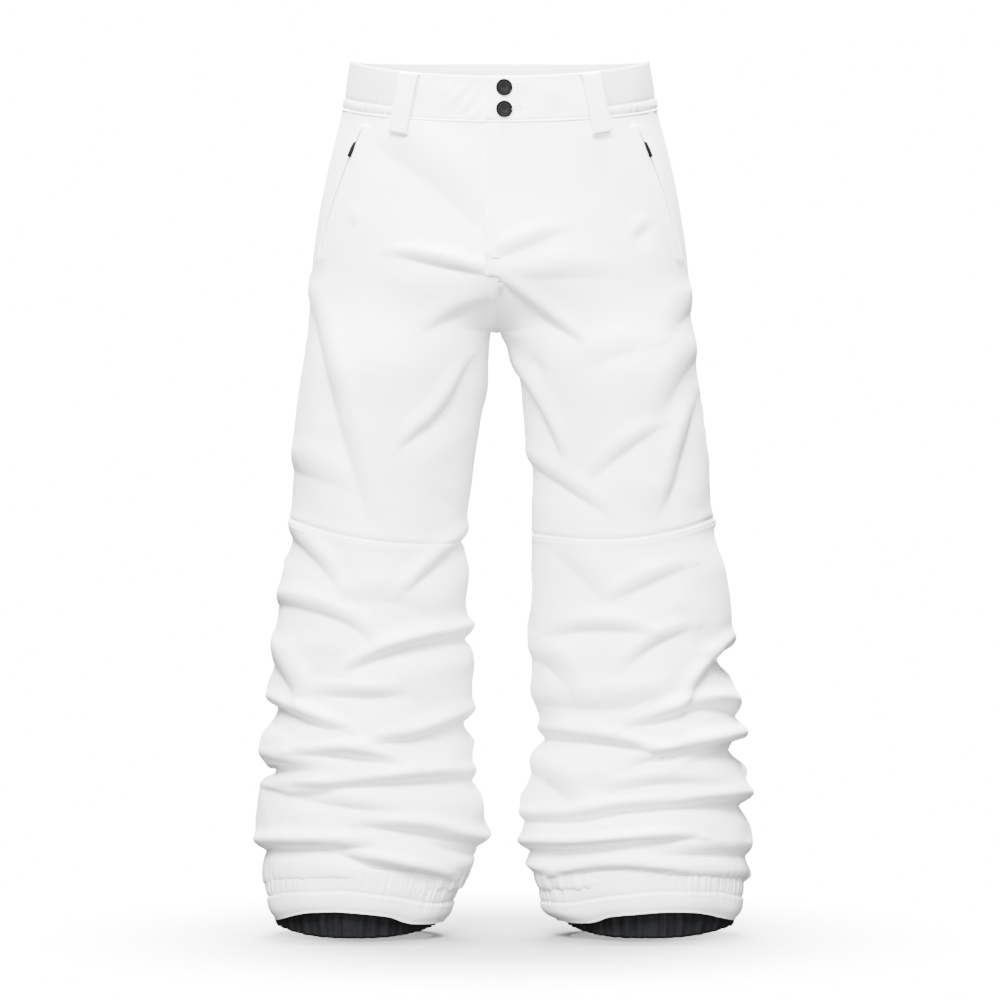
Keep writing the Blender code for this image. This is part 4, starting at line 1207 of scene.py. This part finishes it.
buttonLook = dict(place=0.0084, drops=(0.0125, 0.0373), radius=0.0086, reach=0.0044, back=0.0010,
                  shank=0.0023, bore=0.00133, foot=-0.0023, steps=72)


def turnedPiece(name, profile, place, finish):
    steps = buttonLook["steps"]
    angles = np.linspace(0, 2 * math.pi, steps, endpoint=False)
    profile = np.array(profile)
    a, k = np.meshgrid(angles, np.arange(len(profile)), indexing="ij")
    radius = profile[k, 0]
    local = np.stack([radius * np.cos(a), -profile[k, 1], radius * np.sin(a), np.ones(a.shape)], -1)
    points = (local @ np.array(place).T)[..., :3]
    faces = gridFaces(steps + 1, len(profile), False, False) % (steps * len(profile))
    piece = newPiece(name, points, faces, finish)
    welded(piece, 0.000002, outward=True)
    piece.data.shade_smooth()
    piece.data.set_sharp_from_angle(angle=math.radians(55))
    return piece


def buttonProfile():
    look = buttonLook
    r = look["radius"]
    top = look["reach"]
    rings = ((0, 1.25), (0.6, 1.20), (0.9, 0.95), (2.0, 1.05), (3.6, 0.85), (5.0, 0.60), (5.8, 0.55),
             (6.2, 0.75), (6.6, 0.60), (7.0, 0.10), (7.5, 0))
    face = [(out / 1000, top - sunk / 1000) for out, sunk in rings]
    face += [(r - 0.0006, top - 0.0002), (r - 0.0001, top - 0.0008), (r, top - 0.0014),
             (r - 0.0001, look["back"] + 0.0005),
             (r - 0.0006, look["back"] + 0.0001), (r - 0.0016, look["back"])]
    return face + [(look["shank"], look["back"]), (look["shank"], look["foot"]),
                   (look["bore"], look["foot"]), (look["bore"], look["back"] + 0.0008),
                   (0, look["back"] + 0.0008)]


buttons = {}
for key, drop in zip(("top", "low"), buttonLook["drops"]):
    place = frameAt(buttonLook["place"], drop)
    buttons[key] = turnedPiece(f"waist_button_{key}_cap", buttonProfile(), place, "button")

# Raised, stitched edge of each buttonhole, whose far end shows beside the button

holeLook = dict(start=-0.0045, end=0.0195, half=0.0016, halfTurn=0.355,
                stitches=dict(spacing=0.00075, length=0.0006, width=0.0017, height=0.0006))
holes = []
for key, drop in zip(("top", "low"), buttonLook["drops"]):
    place = frameAt(buttonLook["place"], drop) @ Matrix.Rotation(math.radians(-9), 4, "Y")
    near, far = holeLook["start"], holeLook["end"]
    outline = [(near, 0)]
    for t in np.linspace(0, 1, 12):
        outline.append((near + 0.003 + (far - near - 0.005) * t, holeLook["half"]))
    outline += [(far - 0.0012, holeLook["half"] * 0.8), (far, 0)]
    outline = np.array(outline + [(x, -z) for x, z in outline[-2:0:-1]])
    lines = []
    for x, z in outline:
        world = place @ Vector((x, 0, z))
        w = buttonLook["place"] + x / holeLook["halfTurn"]
        spot = Vector(outlinePoint(w, drop))
        out = Vector(normalsOf(outlinePoint, w, drop))
        lines.append((spot + (world - spot) - out * ((world - spot).dot(out)), out))
    points = np.array([p + n * 0.0011 for p, n in lines])
    outs = np.array([n for p, n in lines])
    points = np.concatenate([points, points[:1]])
    outs = np.concatenate([outs, outs[:1]])
    holes.append(beads(f"buttonhole_{key}_stitches", [points], [outs], holeLook["stitches"], "thread"))
print("buttons made")


# Pockets: lips of cloth that nearly close over the zip, its teeth, slider and pull

pocketLook = dict(inset=0.0058, head=0.0090, foot=0.0160, lipOut=0.0135, lipGap=0.0012, lipLift=0.0015)


def lipEdge(down, length):
    # how far each lip stays from the slit's middle, drawn together at both ends
    ends = smooth((down + 0.001) / 0.012) * smooth((length + 0.001 - down) / 0.020)
    return pocketLook["lipGap"] * (0.25 + 0.75 * ends)


def pocketPieces(side):
    name = sideName[side]
    start, end = pocketEnds(side)
    length = float(np.linalg.norm(outlinePoint(*start) - outlinePoint(*end)))

    def at(sideways, down, lift):
        t = down / length
        w = start[0] + (end[0] - start[0]) * t
        drop = start[1] + (end[1] - start[1]) * t
        step = 0.002
        across = outlinePoint(w + step, drop) - outlinePoint(w - step, drop)
        w = w + sideways / (np.linalg.norm(across, axis=-1) / (2 * step))
        return outlinePoint(w, drop) + normalsOf(outlinePoint, w, drop) * lift[..., None]

    downs = np.linspace(-0.007, length + 0.007, 120)
    lips = []
    for hand in (-1, 1):
        inner = lipEdge(downs, length)
        outer = np.full(len(downs), pocketLook["lipOut"])
        settle = smooth((downs + 0.007) / 0.009) * smooth((length + 0.007 - downs) / 0.009)
        proud = 0.0006 if hand * side > 0 else 0.0
        shape = [(0.0, -0.0011), (0.0, 0.0001 + proud), (0.03, 0.0006 + proud), (0.10, 0.0007 + proud),
                 (0.22, 0.0002 + proud * 0.6), (0.40, -0.0002), (0.62, -0.0007), (0.82, -0.0012),
                 (1.0, -0.0021), (0.8, -0.0026), (0.5, -0.0021), (0.15, -0.0012)]
        sideways = np.stack([hand * (inner + (outer - inner) * s) for s, _ in shape], 1)
        lift = np.stack([pocketLook["lipLift"] + l - 0.0024 * (1 - settle) for _, l in shape], 1)
        down = np.broadcast_to(downs[:, None], sideways.shape)
        points = at(sideways, down, lift)
        faces = tubeFaces(len(downs), len(shape))
        tag = "front" if hand * side < 0 else "side"
        lip = newPiece(f"pocket_{name}_lip_{tag}", points, faces, "shell", np.stack([sideways, down], -1))
        welded(lip, 0.000005, outward=True)
        lip.data.shade_smooth()
        lips.append(lip)
    lines = []
    outs = []
    for hand in (-1, 1):
        run = np.linspace(0.001, length - 0.001, 60)
        sideways = np.full(60, hand * 0.0062)
        lines.append(at(sideways, run, np.full(60, pocketLook["lipLift"] - 0.0001)))
        inside = at(sideways, run, np.full(60, pocketLook["lipLift"] - 0.0011))
        outs.append((lines[-1] - inside) / 0.001)
    stitches = beads(f"pocket_{name}_stitches", lines, outs, stitchLook, "thread")
    place, whole = zipPlace(start, end, pocketLook["inset"])
    place = place @ Matrix.Translation((0, 0, -pocketLook["head"]))
    whole -= pocketLook["head"]
    teeth = []
    for hand in (-1, 1):
        heights = np.linspace(0.0008, whole - pocketLook["foot"], 90)
        teeth.append(np.array([place @ Vector((hand * 0.0016, 0, -z)) for z in heights]))
    outward = np.tile(np.array((place.to_3x3() @ Vector((0, -1, 0)))), (90, 1))
    row = beads(f"pocket_{name}_zip_teeth_moulded", teeth, [outward, outward],
                dict(spacing=0.0016, length=0.0011, width=0.0021, height=0.0022), "teeth")
    return lips, stitches, row, place


def softened(node, finish, width, name):
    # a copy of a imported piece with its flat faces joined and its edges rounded
    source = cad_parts[node]
    mesh = source.data.copy()
    mesh.materials.clear()
    piece = bpy.data.objects.new(name, mesh)
    bpy.context.scene.collection.objects.link(piece)
    mesh.materials.append(finishes[finish])
    bm = bmesh.new()
    bm.from_mesh(mesh)
    bmesh.ops.remove_doubles(bm, verts=bm.verts, dist=0.000002)
    bmesh.ops.dissolve_limit(bm, angle_limit=math.radians(2), verts=bm.verts, edges=bm.edges)
    bm.to_mesh(mesh)
    bm.free()
    for old in [a.name for a in mesh.attributes if a.name.startswith("custom")]:
        mesh.attributes.remove(mesh.attributes[old])
    edge = piece.modifiers.new("edge", "BEVEL")
    edge.width = width
    edge.segments = 2
    edge.limit_method = "ANGLE"
    edge.angle_limit = math.radians(35)
    applied(piece)
    piece.data.shade_smooth()
    piece.data.set_sharp_from_angle(angle=math.radians(50))
    return piece


tabLook = dict(hinge=(0.0, -0.00365, -0.0058), length=0.0205, over=0.0036, thick=0.0017, rows=34)


def pullTab(side, name, place):
    # a moulded tab: an eye on the slider's bar, a thin neck up through the lips, a body lying over them
    look = tabLook
    start, end = pocketEnds(side)
    inverse = place.inverted()
    x0, y0, z0 = look["hinge"]
    ts = np.linspace(0, 1, look["rows"])
    surface = []
    for t in ts:
        down = pocketLook["head"] - z0 + look["length"] * t
        share = down / 0.1515
        spot = [a + (b - a) * share for a, b in zip(start, end)]
        surface.append((inverse @ Vector(outlinePoint(*spot))).y)
    surface = np.array(surface)
    rise = smooth(ts / 0.26)
    y = (y0 + 0.0002) * (1 - rise) + (surface - look["over"]) * rise
    z = z0 + 0.0006 - look["length"] * (ts * 0.92 + 0.08 * ts**2)
    half = 0.0008 + 0.0010 * smooth((ts - 0.19) / 0.08) + 0.0012 * smooth((ts - 0.22) / 0.45)
    half = half * (1 - 0.25 * smooth((ts - 0.955) / 0.045))
    thick = look["thick"] * (0.65 + 0.35 * smooth(ts / 0.3)) * (1 - 0.35 * smooth((ts - 0.95) / 0.05))
    ring = 20
    angles = np.linspace(0, 2 * math.pi, ring, endpoint=False)
    c = np.sign(np.cos(angles)) * np.abs(np.cos(angles)) ** 0.45
    s = np.sign(np.sin(angles)) * np.abs(np.sin(angles)) ** 0.6
    groove = 0.00025 * np.exp(-(np.cos(angles) / 0.35) ** 2) * (np.sin(angles) < 0)
    across = y[:, None] + thick[:, None] / 2 * s + groove * (ts[:, None] > 0.3)
    local = np.stack([x0 + half[:, None] * c, across,
                      np.broadcast_to(z[:, None], (len(ts), ring)), np.ones((len(ts), ring))], -1)
    points = (local @ np.array(place).T)[..., :3]
    tab = newPiece(name, points, tubeFaces(len(ts), ring), "pull")
    welded(tab, 0.000002, outward=True)
    tab.data.shade_smooth()
    tab.data.set_sharp_from_angle(angle=math.radians(60))
    return tab


pockets = {}
for side in (1, -1):
    name = sideName[side]
    pockets[side] = pocketPieces(side)
    softened(f"pocket_{name}_zip_slider", "slider", 0.00022, f"pocket_{name}_slider_body")
    pullTab(side, f"pocket_{name}_pull_tab", pockets[side][3])
print("pockets made")


# The fly: the left front's flap, its edge folded, laid over the right front

flapLook = dict(edge=-0.0012, into=0.058, proud=0.0019, bottom=0.216, end=0.236, wall=0.0016, rows=150)


def frontPoint(w, drop, lift):
    # the cloth of either front, w counted from the lap's edge and negative on the wearer's right
    w, drop = np.broadcast_arrays(np.asarray(w, float), np.asarray(drop, float))
    left = clothPoint(1, np.abs(w), drop, lift)
    right = clothPoint(-1, np.abs(w), drop, lift)
    return np.where((w >= 0)[..., None], left, right)


def flapLift(w, drop):
    across = smooth((w - flapLook["edge"]) / 0.056)
    over = flapLook["proud"] * (1 - 0.85 * smooth((drop - flapLook["bottom"] + 0.003) / 0.006))
    over = over * (1 - smooth((drop - flapLook["end"] + 0.014) / 0.014))
    fold = np.exp(-((w - flapLook["edge"]) / 0.0010) ** 2) * 0.0007
    tucked = 0.0006 * smooth((drop - flapLook["end"] + 0.008) / 0.008)
    return over * (1 - across) - 0.0007 * across - fold - tucked


ws = flapLook["edge"] + (flapLook["into"] - flapLook["edge"]) * np.linspace(0, 1, 70) ** 1.5
w, drop = np.meshgrid(ws, np.linspace(0.0545, flapLook["end"], flapLook["rows"]))
points = frontPoint(w, drop, flapLift(w, drop))
flap = newPiece("fly_flap_cloth", points, gridFaces(flapLook["rows"], len(ws), False, False), "shell",
                np.stack([w * 0.54, drop], -1))
flap = walled(flap, flapLook["wall"])


# Topstitching, a thread at a time

def clothRun(side, us, drops):
    lift = stitchLook["lift"]
    us, drops = np.broadcast_arrays(np.asarray(us, float), np.asarray(drops, float))
    points = clothPoint(side, us, drops, lift)
    outs = clothPoint(side, us, drops, lift + 0.001) - points
    return points, outs / np.linalg.norm(outs, axis=1)[:, None]


def bandRun(surface, ws, drops, lift):
    ws, drops, lift = np.broadcast_arrays(*[np.asarray(one, float) for one in (ws, drops, lift)])
    points = surface(ws, drops, lift)
    outs = surface(ws, drops, lift + 0.001) - points
    return points, outs / np.linalg.norm(outs, axis=1)[:, None]


def threads(name, runs):
    return beads(name, [r[0] for r in runs], [r[1] for r in runs], stitchLook, "thread")


stitched = {}
bandRuns = []
for low, high in ((bandLook["lap"], bandLook["join"] - 0.002),
                  (-bandLook["join"] + 0.002, bandLook["lap"] - 0.003),
                  (bandLook["backJoin"] + 0.002, 2 - bandLook["backJoin"] - 0.002)):
    for height in (0.0026, bandLook["height"] - 0.0026):
        ws = np.linspace(low, high, 160)
        lift = 0.0007 + bandUnevenness(ws, np.full(160, height), np.zeros(160))
        bandRuns.append(bandRun(trunkBand, ws, height, lift))
lapDrops = np.linspace(0.003, bandLook["height"] - 0.003, 40)
lapAt = np.full(40, bandLook["lap"] + 0.006)
bandRuns.append(bandRun(trunkBand, lapAt, lapDrops, 0.0008 + bandUnevenness(lapAt, lapDrops, np.zeros(40))))
stitched["band"] = threads("waistband_topstitching", bandRuns)

curve = np.linspace(0, 1, 90)
flyW = 0.066 - 0.046 * smooth((curve - 0.62) / 0.38) ** 1.4
flyDrop = 0.056 + 0.158 * curve
flyLift = np.where(flyW < flapLook["into"], np.maximum(flapLift(flyW, flyDrop), 0), 0) + 0.0002
flyOut = frontPoint(flyW, flyDrop, flyLift + 0.001) - frontPoint(flyW, flyDrop, flyLift)
stitched["fly"] = threads("fly_topstitching", [(frontPoint(flyW, flyDrop, flyLift), flyOut * 1000)])

backRuns = []
for side in (1, -1):
    us = np.linspace(0.502, 0.998, 120)
    backRuns.append(clothRun(side, us, 0.119))
    backRuns.append(clothRun(side, 0.9925, np.linspace(0.057, 0.232, 60)))
stitched["back"] = threads("back_topstitching", backRuns)

for key, (loop, place) in loops.items():
    runs = []
    out = loopLook["gap"] + loopLook["cloth"]
    turn = np.array(place)
    for x in (-0.0080, 0.0080):
        t = np.linspace(0.03, 0.97, 50)
        y = -(out + loopLook["bow"] * np.sin(math.pi * t) + 0.00010)
        local = np.stack([np.full(50, x), y, -0.0026 - (loopLook["length"] - 0.0052) * t, np.ones(50)], -1)
        outs = np.broadcast_to(turn[:3, :3] @ np.array([0.0, -1.0, 0.0]), (50, 3))
        runs.append(((local @ turn.T)[:, :3], outs))
    stitched[f"loop_{key}"] = threads(f"belt_loop_{key}_stitches", runs)

for side in (1, -1):
    name = sideName[side]
    us = np.linspace(0.0, 1.0, 300)
    knees = [clothRun(side, us, kneeDrop(side, us) + step) for step in (0.0032, 0.0072)]
    drops = np.linspace(0.560, 0.862, 150)
    knees.append(clothRun(side, 0.5065, drops))
    stitched[f"lower{side}"] = threads(f"lower_leg_topstitching_{name}", knees)
    drops = np.linspace(0.057, float(kneeDrop(side, np.array([0.5065]))[0]) - 0.004, 200)
    stitched[f"upper{side}"] = threads(f"side_seam_topstitching_{name}", [clothRun(side, 0.5065, drops)])
    us = np.linspace(0, 1, 320)
    rows = cuffPoints(side, us)
    hems = [bandRun(legBand(side), us, rows[0][:, k], rows[1][:, k] + 0.0002) for k in (20, 34)]
    stitched[f"cuff{side}"] = threads(f"hem_topstitching_{name}", hems)
print("stitches made")


# Hidden cloth pieces, cut into small faces and creased

def rumpled(node, finish, name, step, depth, seed):
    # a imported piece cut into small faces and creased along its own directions
    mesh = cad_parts[node].data.copy()
    mesh.materials.clear()
    mesh.materials.append(finishes[finish])
    piece = bpy.data.objects.new(name, mesh)
    bpy.context.scene.collection.objects.link(piece)
    bm = bmesh.new()
    bm.from_mesh(mesh)
    bmesh.ops.remove_doubles(bm, verts=bm.verts, dist=0.000002)
    for _ in range(5):
        long = [e for e in bm.edges if e.calc_length() > step]
        if not long or len(bm.faces) > 60000:
            break
        bmesh.ops.subdivide_edges(bm, edges=long, cuts=1)
        bmesh.ops.triangulate(bm, faces=[f for f in bm.faces if len(f.verts) > 4])
    bm.normal_update()
    spots = np.array([v.co for v in bm.verts])
    outs = np.array([v.normal for v in bm.verts])
    crease = ripple(spots, seed, 14, 0.060, 0.010, (1, 1, 1))
    moved = spots + outs * (crease * 0.02 - 0.0001)[:, None] * depth
    shift = ripple(spots, seed + 1, 10, 0.080, 0.020, (1, 1, 1)) * depth
    moved[:, 1] += shift
    for v, co in zip(bm.verts, moved):
        v.co = co
    bm.to_mesh(mesh)
    bm.free()
    for old in [a.name for a in mesh.attributes if a.name.startswith("custom")]:
        mesh.attributes.remove(mesh.attributes[old])
    mesh.shade_smooth()
    mesh.set_sharp_from_angle(angle=math.radians(55))
    return piece


hidden = {}
for index, (node, finish) in enumerate((("pocket_bag_left", "lining"), ("pocket_bag_right", "lining"),
                                        ("fly_facing", "lining"), ("fly_shield", "shell"))):
    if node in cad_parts:
        hidden[node] = rumpled(node, finish, f"{node}_cloth", 0.0045, 0.0004, 40 + index)
print("hidden cloth made")


# Room, light and camera

stageLook = dict(cameraAway=4.0, cameraHeight=-0.4655, viewWidth=1.058, domeRadius=16.0, white=18.0,
                 ambient=0.22, floorGlow=0.05, lightsFace=(0, 0, -0.45))


def glowFinish(name, strength):
    made = Finish(name, 1.0)
    glow = made.node("ShaderNodeEmission", None, {"Color": (1, 1, 1, 1), "Strength": strength})
    output = made.tree.nodes["Material Output"]
    made.tree.links.new(glow.socket, output.inputs["Surface"])
    return made.material


def makeStage():
    look = stageLook
    world = bpy.data.worlds.new("soft_room")
    world.use_nodes = True
    world.node_tree.nodes["Background"].inputs["Color"].default_value = (1, 1, 1.01, 1)
    world.node_tree.nodes["Background"].inputs["Strength"].default_value = look["ambient"]
    bpy.context.scene.world = world

    bm = bmesh.new()
    bmesh.ops.create_uvsphere(bm, u_segments=48, v_segments=24, radius=look["domeRadius"])
    bmesh.ops.reverse_faces(bm, faces=bm.faces)
    mesh = bpy.data.meshes.new("backdrop")
    bm.to_mesh(mesh)
    bm.free()
    mesh.materials.append(glowFinish("white_backdrop", look["white"]))
    dome = bpy.data.objects.new("backdrop", mesh)
    bpy.context.scene.collection.objects.link(dome)
    for kind in ("diffuse", "glossy", "transmission", "volume_scatter", "shadow"):
        setattr(dome, f"visible_{kind}", False)

    low = cadBox[0].z - 0.0012
    bm = bmesh.new()
    bmesh.ops.create_circle(bm, cap_ends=True, segments=96, radius=15.0)
    mesh = bpy.data.meshes.new("floor")
    bm.to_mesh(mesh)
    bm.free()
    # The floor is dark grey (0.34) near the pants and fades to the backdrop's white glow further out. This is
    # a painted shadow around the feet, on top of the real shadows that the lamps cast on the grey part
    floorPaint = Finish("floor_with_painted_shadow", 0.9)
    floorPaint.colour((0.34, 0.34, 0.34))
    at = floorPaint.place()
    x = floorPaint.node("ShaderNodeSeparateXYZ", None, {0: at})
    y = Wire(floorPaint, x.socket.node.outputs[1])
    away = floorPaint.node("ShaderNodeMath", {"operation": "SQRT"}, {0: x * x + y * y})
    # 0 within 0.12 m of the middle and 1 beyond 0.62 m: the reach of the painted shadow
    far = floorPaint.node("ShaderNodeMapRange", {"interpolation_type": "SMOOTHERSTEP"},
                          {"Value": away, "From Min": 0.12, "From Max": 0.62, "To Min": 0.0, "To Max": 1.0})
    glow = floorPaint.node("ShaderNodeEmission", None, {"Color": (1, 1, 1, 1), "Strength": look["white"]})
    lit = floorPaint.shader
    lit.inputs["Emission Color"].default_value = (1, 1, 1, 1)
    lit.inputs["Emission Strength"].default_value = look["floorGlow"]
    lit.inputs["Specular IOR Level"].default_value = 0.0
    mix = floorPaint.node("ShaderNodeMixShader", None, {0: far})
    floorPaint.tree.links.new(lit.outputs[0], mix.socket.node.inputs[1])
    floorPaint.tree.links.new(glow.socket, mix.socket.node.inputs[2])
    floorPaint.tree.links.new(mix.socket, floorPaint.tree.nodes["Material Output"].inputs["Surface"])
    mesh.materials.append(floorPaint.material)
    floor = bpy.data.objects.new("floor", mesh)
    floor.location = (0, 0, low)
    floor.visible_diffuse = False
    floor.visible_glossy = False
    bpy.context.scene.collection.objects.link(floor)

    def softbox(name, where, size, power):
        data = bpy.data.lights.new(name, "AREA")
        data.shape = "RECTANGLE"
        data.size, data.size_y = size
        data.energy = power
        lamp = bpy.data.objects.new(name, data)
        lamp.location = where
        lamp.rotation_euler = (Vector(look["lightsFace"]) - Vector(where)).to_track_quat("-Z", "Y").to_euler()
        lamp.visible_camera = False
        bpy.context.scene.collection.objects.link(lamp)

    softbox("key", (-0.4, -3.2, 2.0), (2.0, 1.4), 1000)
    softbox("top", (0.0, 0.1, 2.5), (2.0, 1.4), 1100)
    softbox("front", (0.2, -4.8, 0.0), (2.2, 2.2), 420)
    softbox("back", (0.0, 2.4, 2.4), (2.0, 1.4), 900)
    camera = bpy.data.cameras.new("camera")
    camera.sensor_width = 36.0
    camera.lens = 36.0 * look["cameraAway"] / look["viewWidth"]
    eye = bpy.data.objects.new("camera", camera)
    eye.location = (0, -look["cameraAway"], look["cameraHeight"])
    eye.rotation_euler = (math.pi / 2, 0, 0)
    bpy.context.scene.collection.objects.link(eye)
    bpy.context.scene.camera = eye


makeStage()


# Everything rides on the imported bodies


def attach(piece, body, slot, *nodes):
    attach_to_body(piece, body)
    if nodes:
        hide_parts(*nodes)


for side in (1, -1):
    name = sideName[side]
    start = Vector((0, 0, -legLook["hipStart"]))
    hip = dict(start=start, end=start + legLook["hipReach"] * Vector((side * 0.42, 0, -0.906)))
    knee = dict(start=(0, 0, -legLook["kneeStart"]), end=(0, 0, -legLook["kneeEnd"]))
    upper = pieces[f"upper{side}"]
    lower = pieces[f"lower{side}"]
    for item in (upper, stitched[f"upper{side}"]):
        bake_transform(item, "root", f"thigh_{name}", **hip)
    for item in (lower, stitched[f"lower{side}"]):
        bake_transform(item, f"thigh_{name}", f"shin_{name}", **knee)
    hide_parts(f"front_panel_{name}", f"back_panel_{name}", f"hip_cloth_{name}",
                f"thigh_front_{name}", f"thigh_back_{name}", "back_yoke")
    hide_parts(f"knee_cloth_{name}", f"shin_front_{name}", f"shin_back_{name}")
    shin = f"shin_{name}"
    attach(stitched[f"cuff{side}"], shin, "thread")
    attach(pieces[f"cuff{side}"], shin, "shell", f"hem_cuff_{name}")
    attach(pieces[f"gaiter{side}"], shin, "gaiter", f"snow_gaiter_{name}")
    attach(pieces[f"grip{side}"], shin, "grip", f"gaiter_grip_{name}")
    attach(pieces[f"casing{side}"], "root", "knit", f"elastic_casing_{name}")
    attach(pieces[f"core{side}"], "root", "webbing", f"elastic_core_{name}")
    lips, stitches, teeth, _ = pockets[side]
    attach(lips[0], "root", "shell", f"pocket_{name}_welt")
    attach(lips[1], "root", "shell")
    attach(stitches, "root", "thread")
    attach(teeth, "root", "teeth", f"pocket_{name}_zip_teeth")
    slider = bpy.data.objects[f"pocket_{name}_slider_body"]
    attach(slider, f"pocket_slider_{name}", "slider", f"pocket_{name}_zip_slider")
    tab = bpy.data.objects[f"pocket_{name}_pull_tab"]
    attach(tab, f"pocket_pull_{name}", "pull", f"pocket_{name}_zip_pull")
for key, slot, node in (("gusset", "shell", "crotch_gusset"), ("bandLeft", "band", "waistband_front_left"),
                        ("bandRight", "band", "waistband_front_right"),
                        ("bandBack", "band", "waistband_back"), ("facing", "lining", "waistband_facing"),
                        ("piping", "shell", "waistband_piping")):
    attach(pieces[key], "root", slot, node)
for key, (loop, _) in loops.items():
    attach(loop, "root", "band", f"belt_loop_{key}")
for key in ("top", "low"):
    attach(buttons[key], f"button_{key}", "button", f"waist_button_{key}")
for hole in holes:
    attach(hole, "root", "thread")
attach(flap, "root", "shell")
for key in ("band", "fly", "back"):
    attach(stitched[key], "root", "thread")
for key in loops:
    attach(stitched[f"loop_{key}"], "root", "thread")
for node, item in hidden.items():
    attach(item, "root", "lining", node)

plainFinish = {"button_tack": "tack", "zip_tapes": "tape", "fly_zip_teeth": "teeth", "zip_slider": "slider",
               "zip_pull": "pull", "fly_bartack": "thread"}
for node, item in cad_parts.items():
    for part, finish in plainFinish.items():
        if part in node and not item.hide_render:
            item.data.materials.clear()
            item.data.materials.append(finishes[finish])
print("pieces attached")
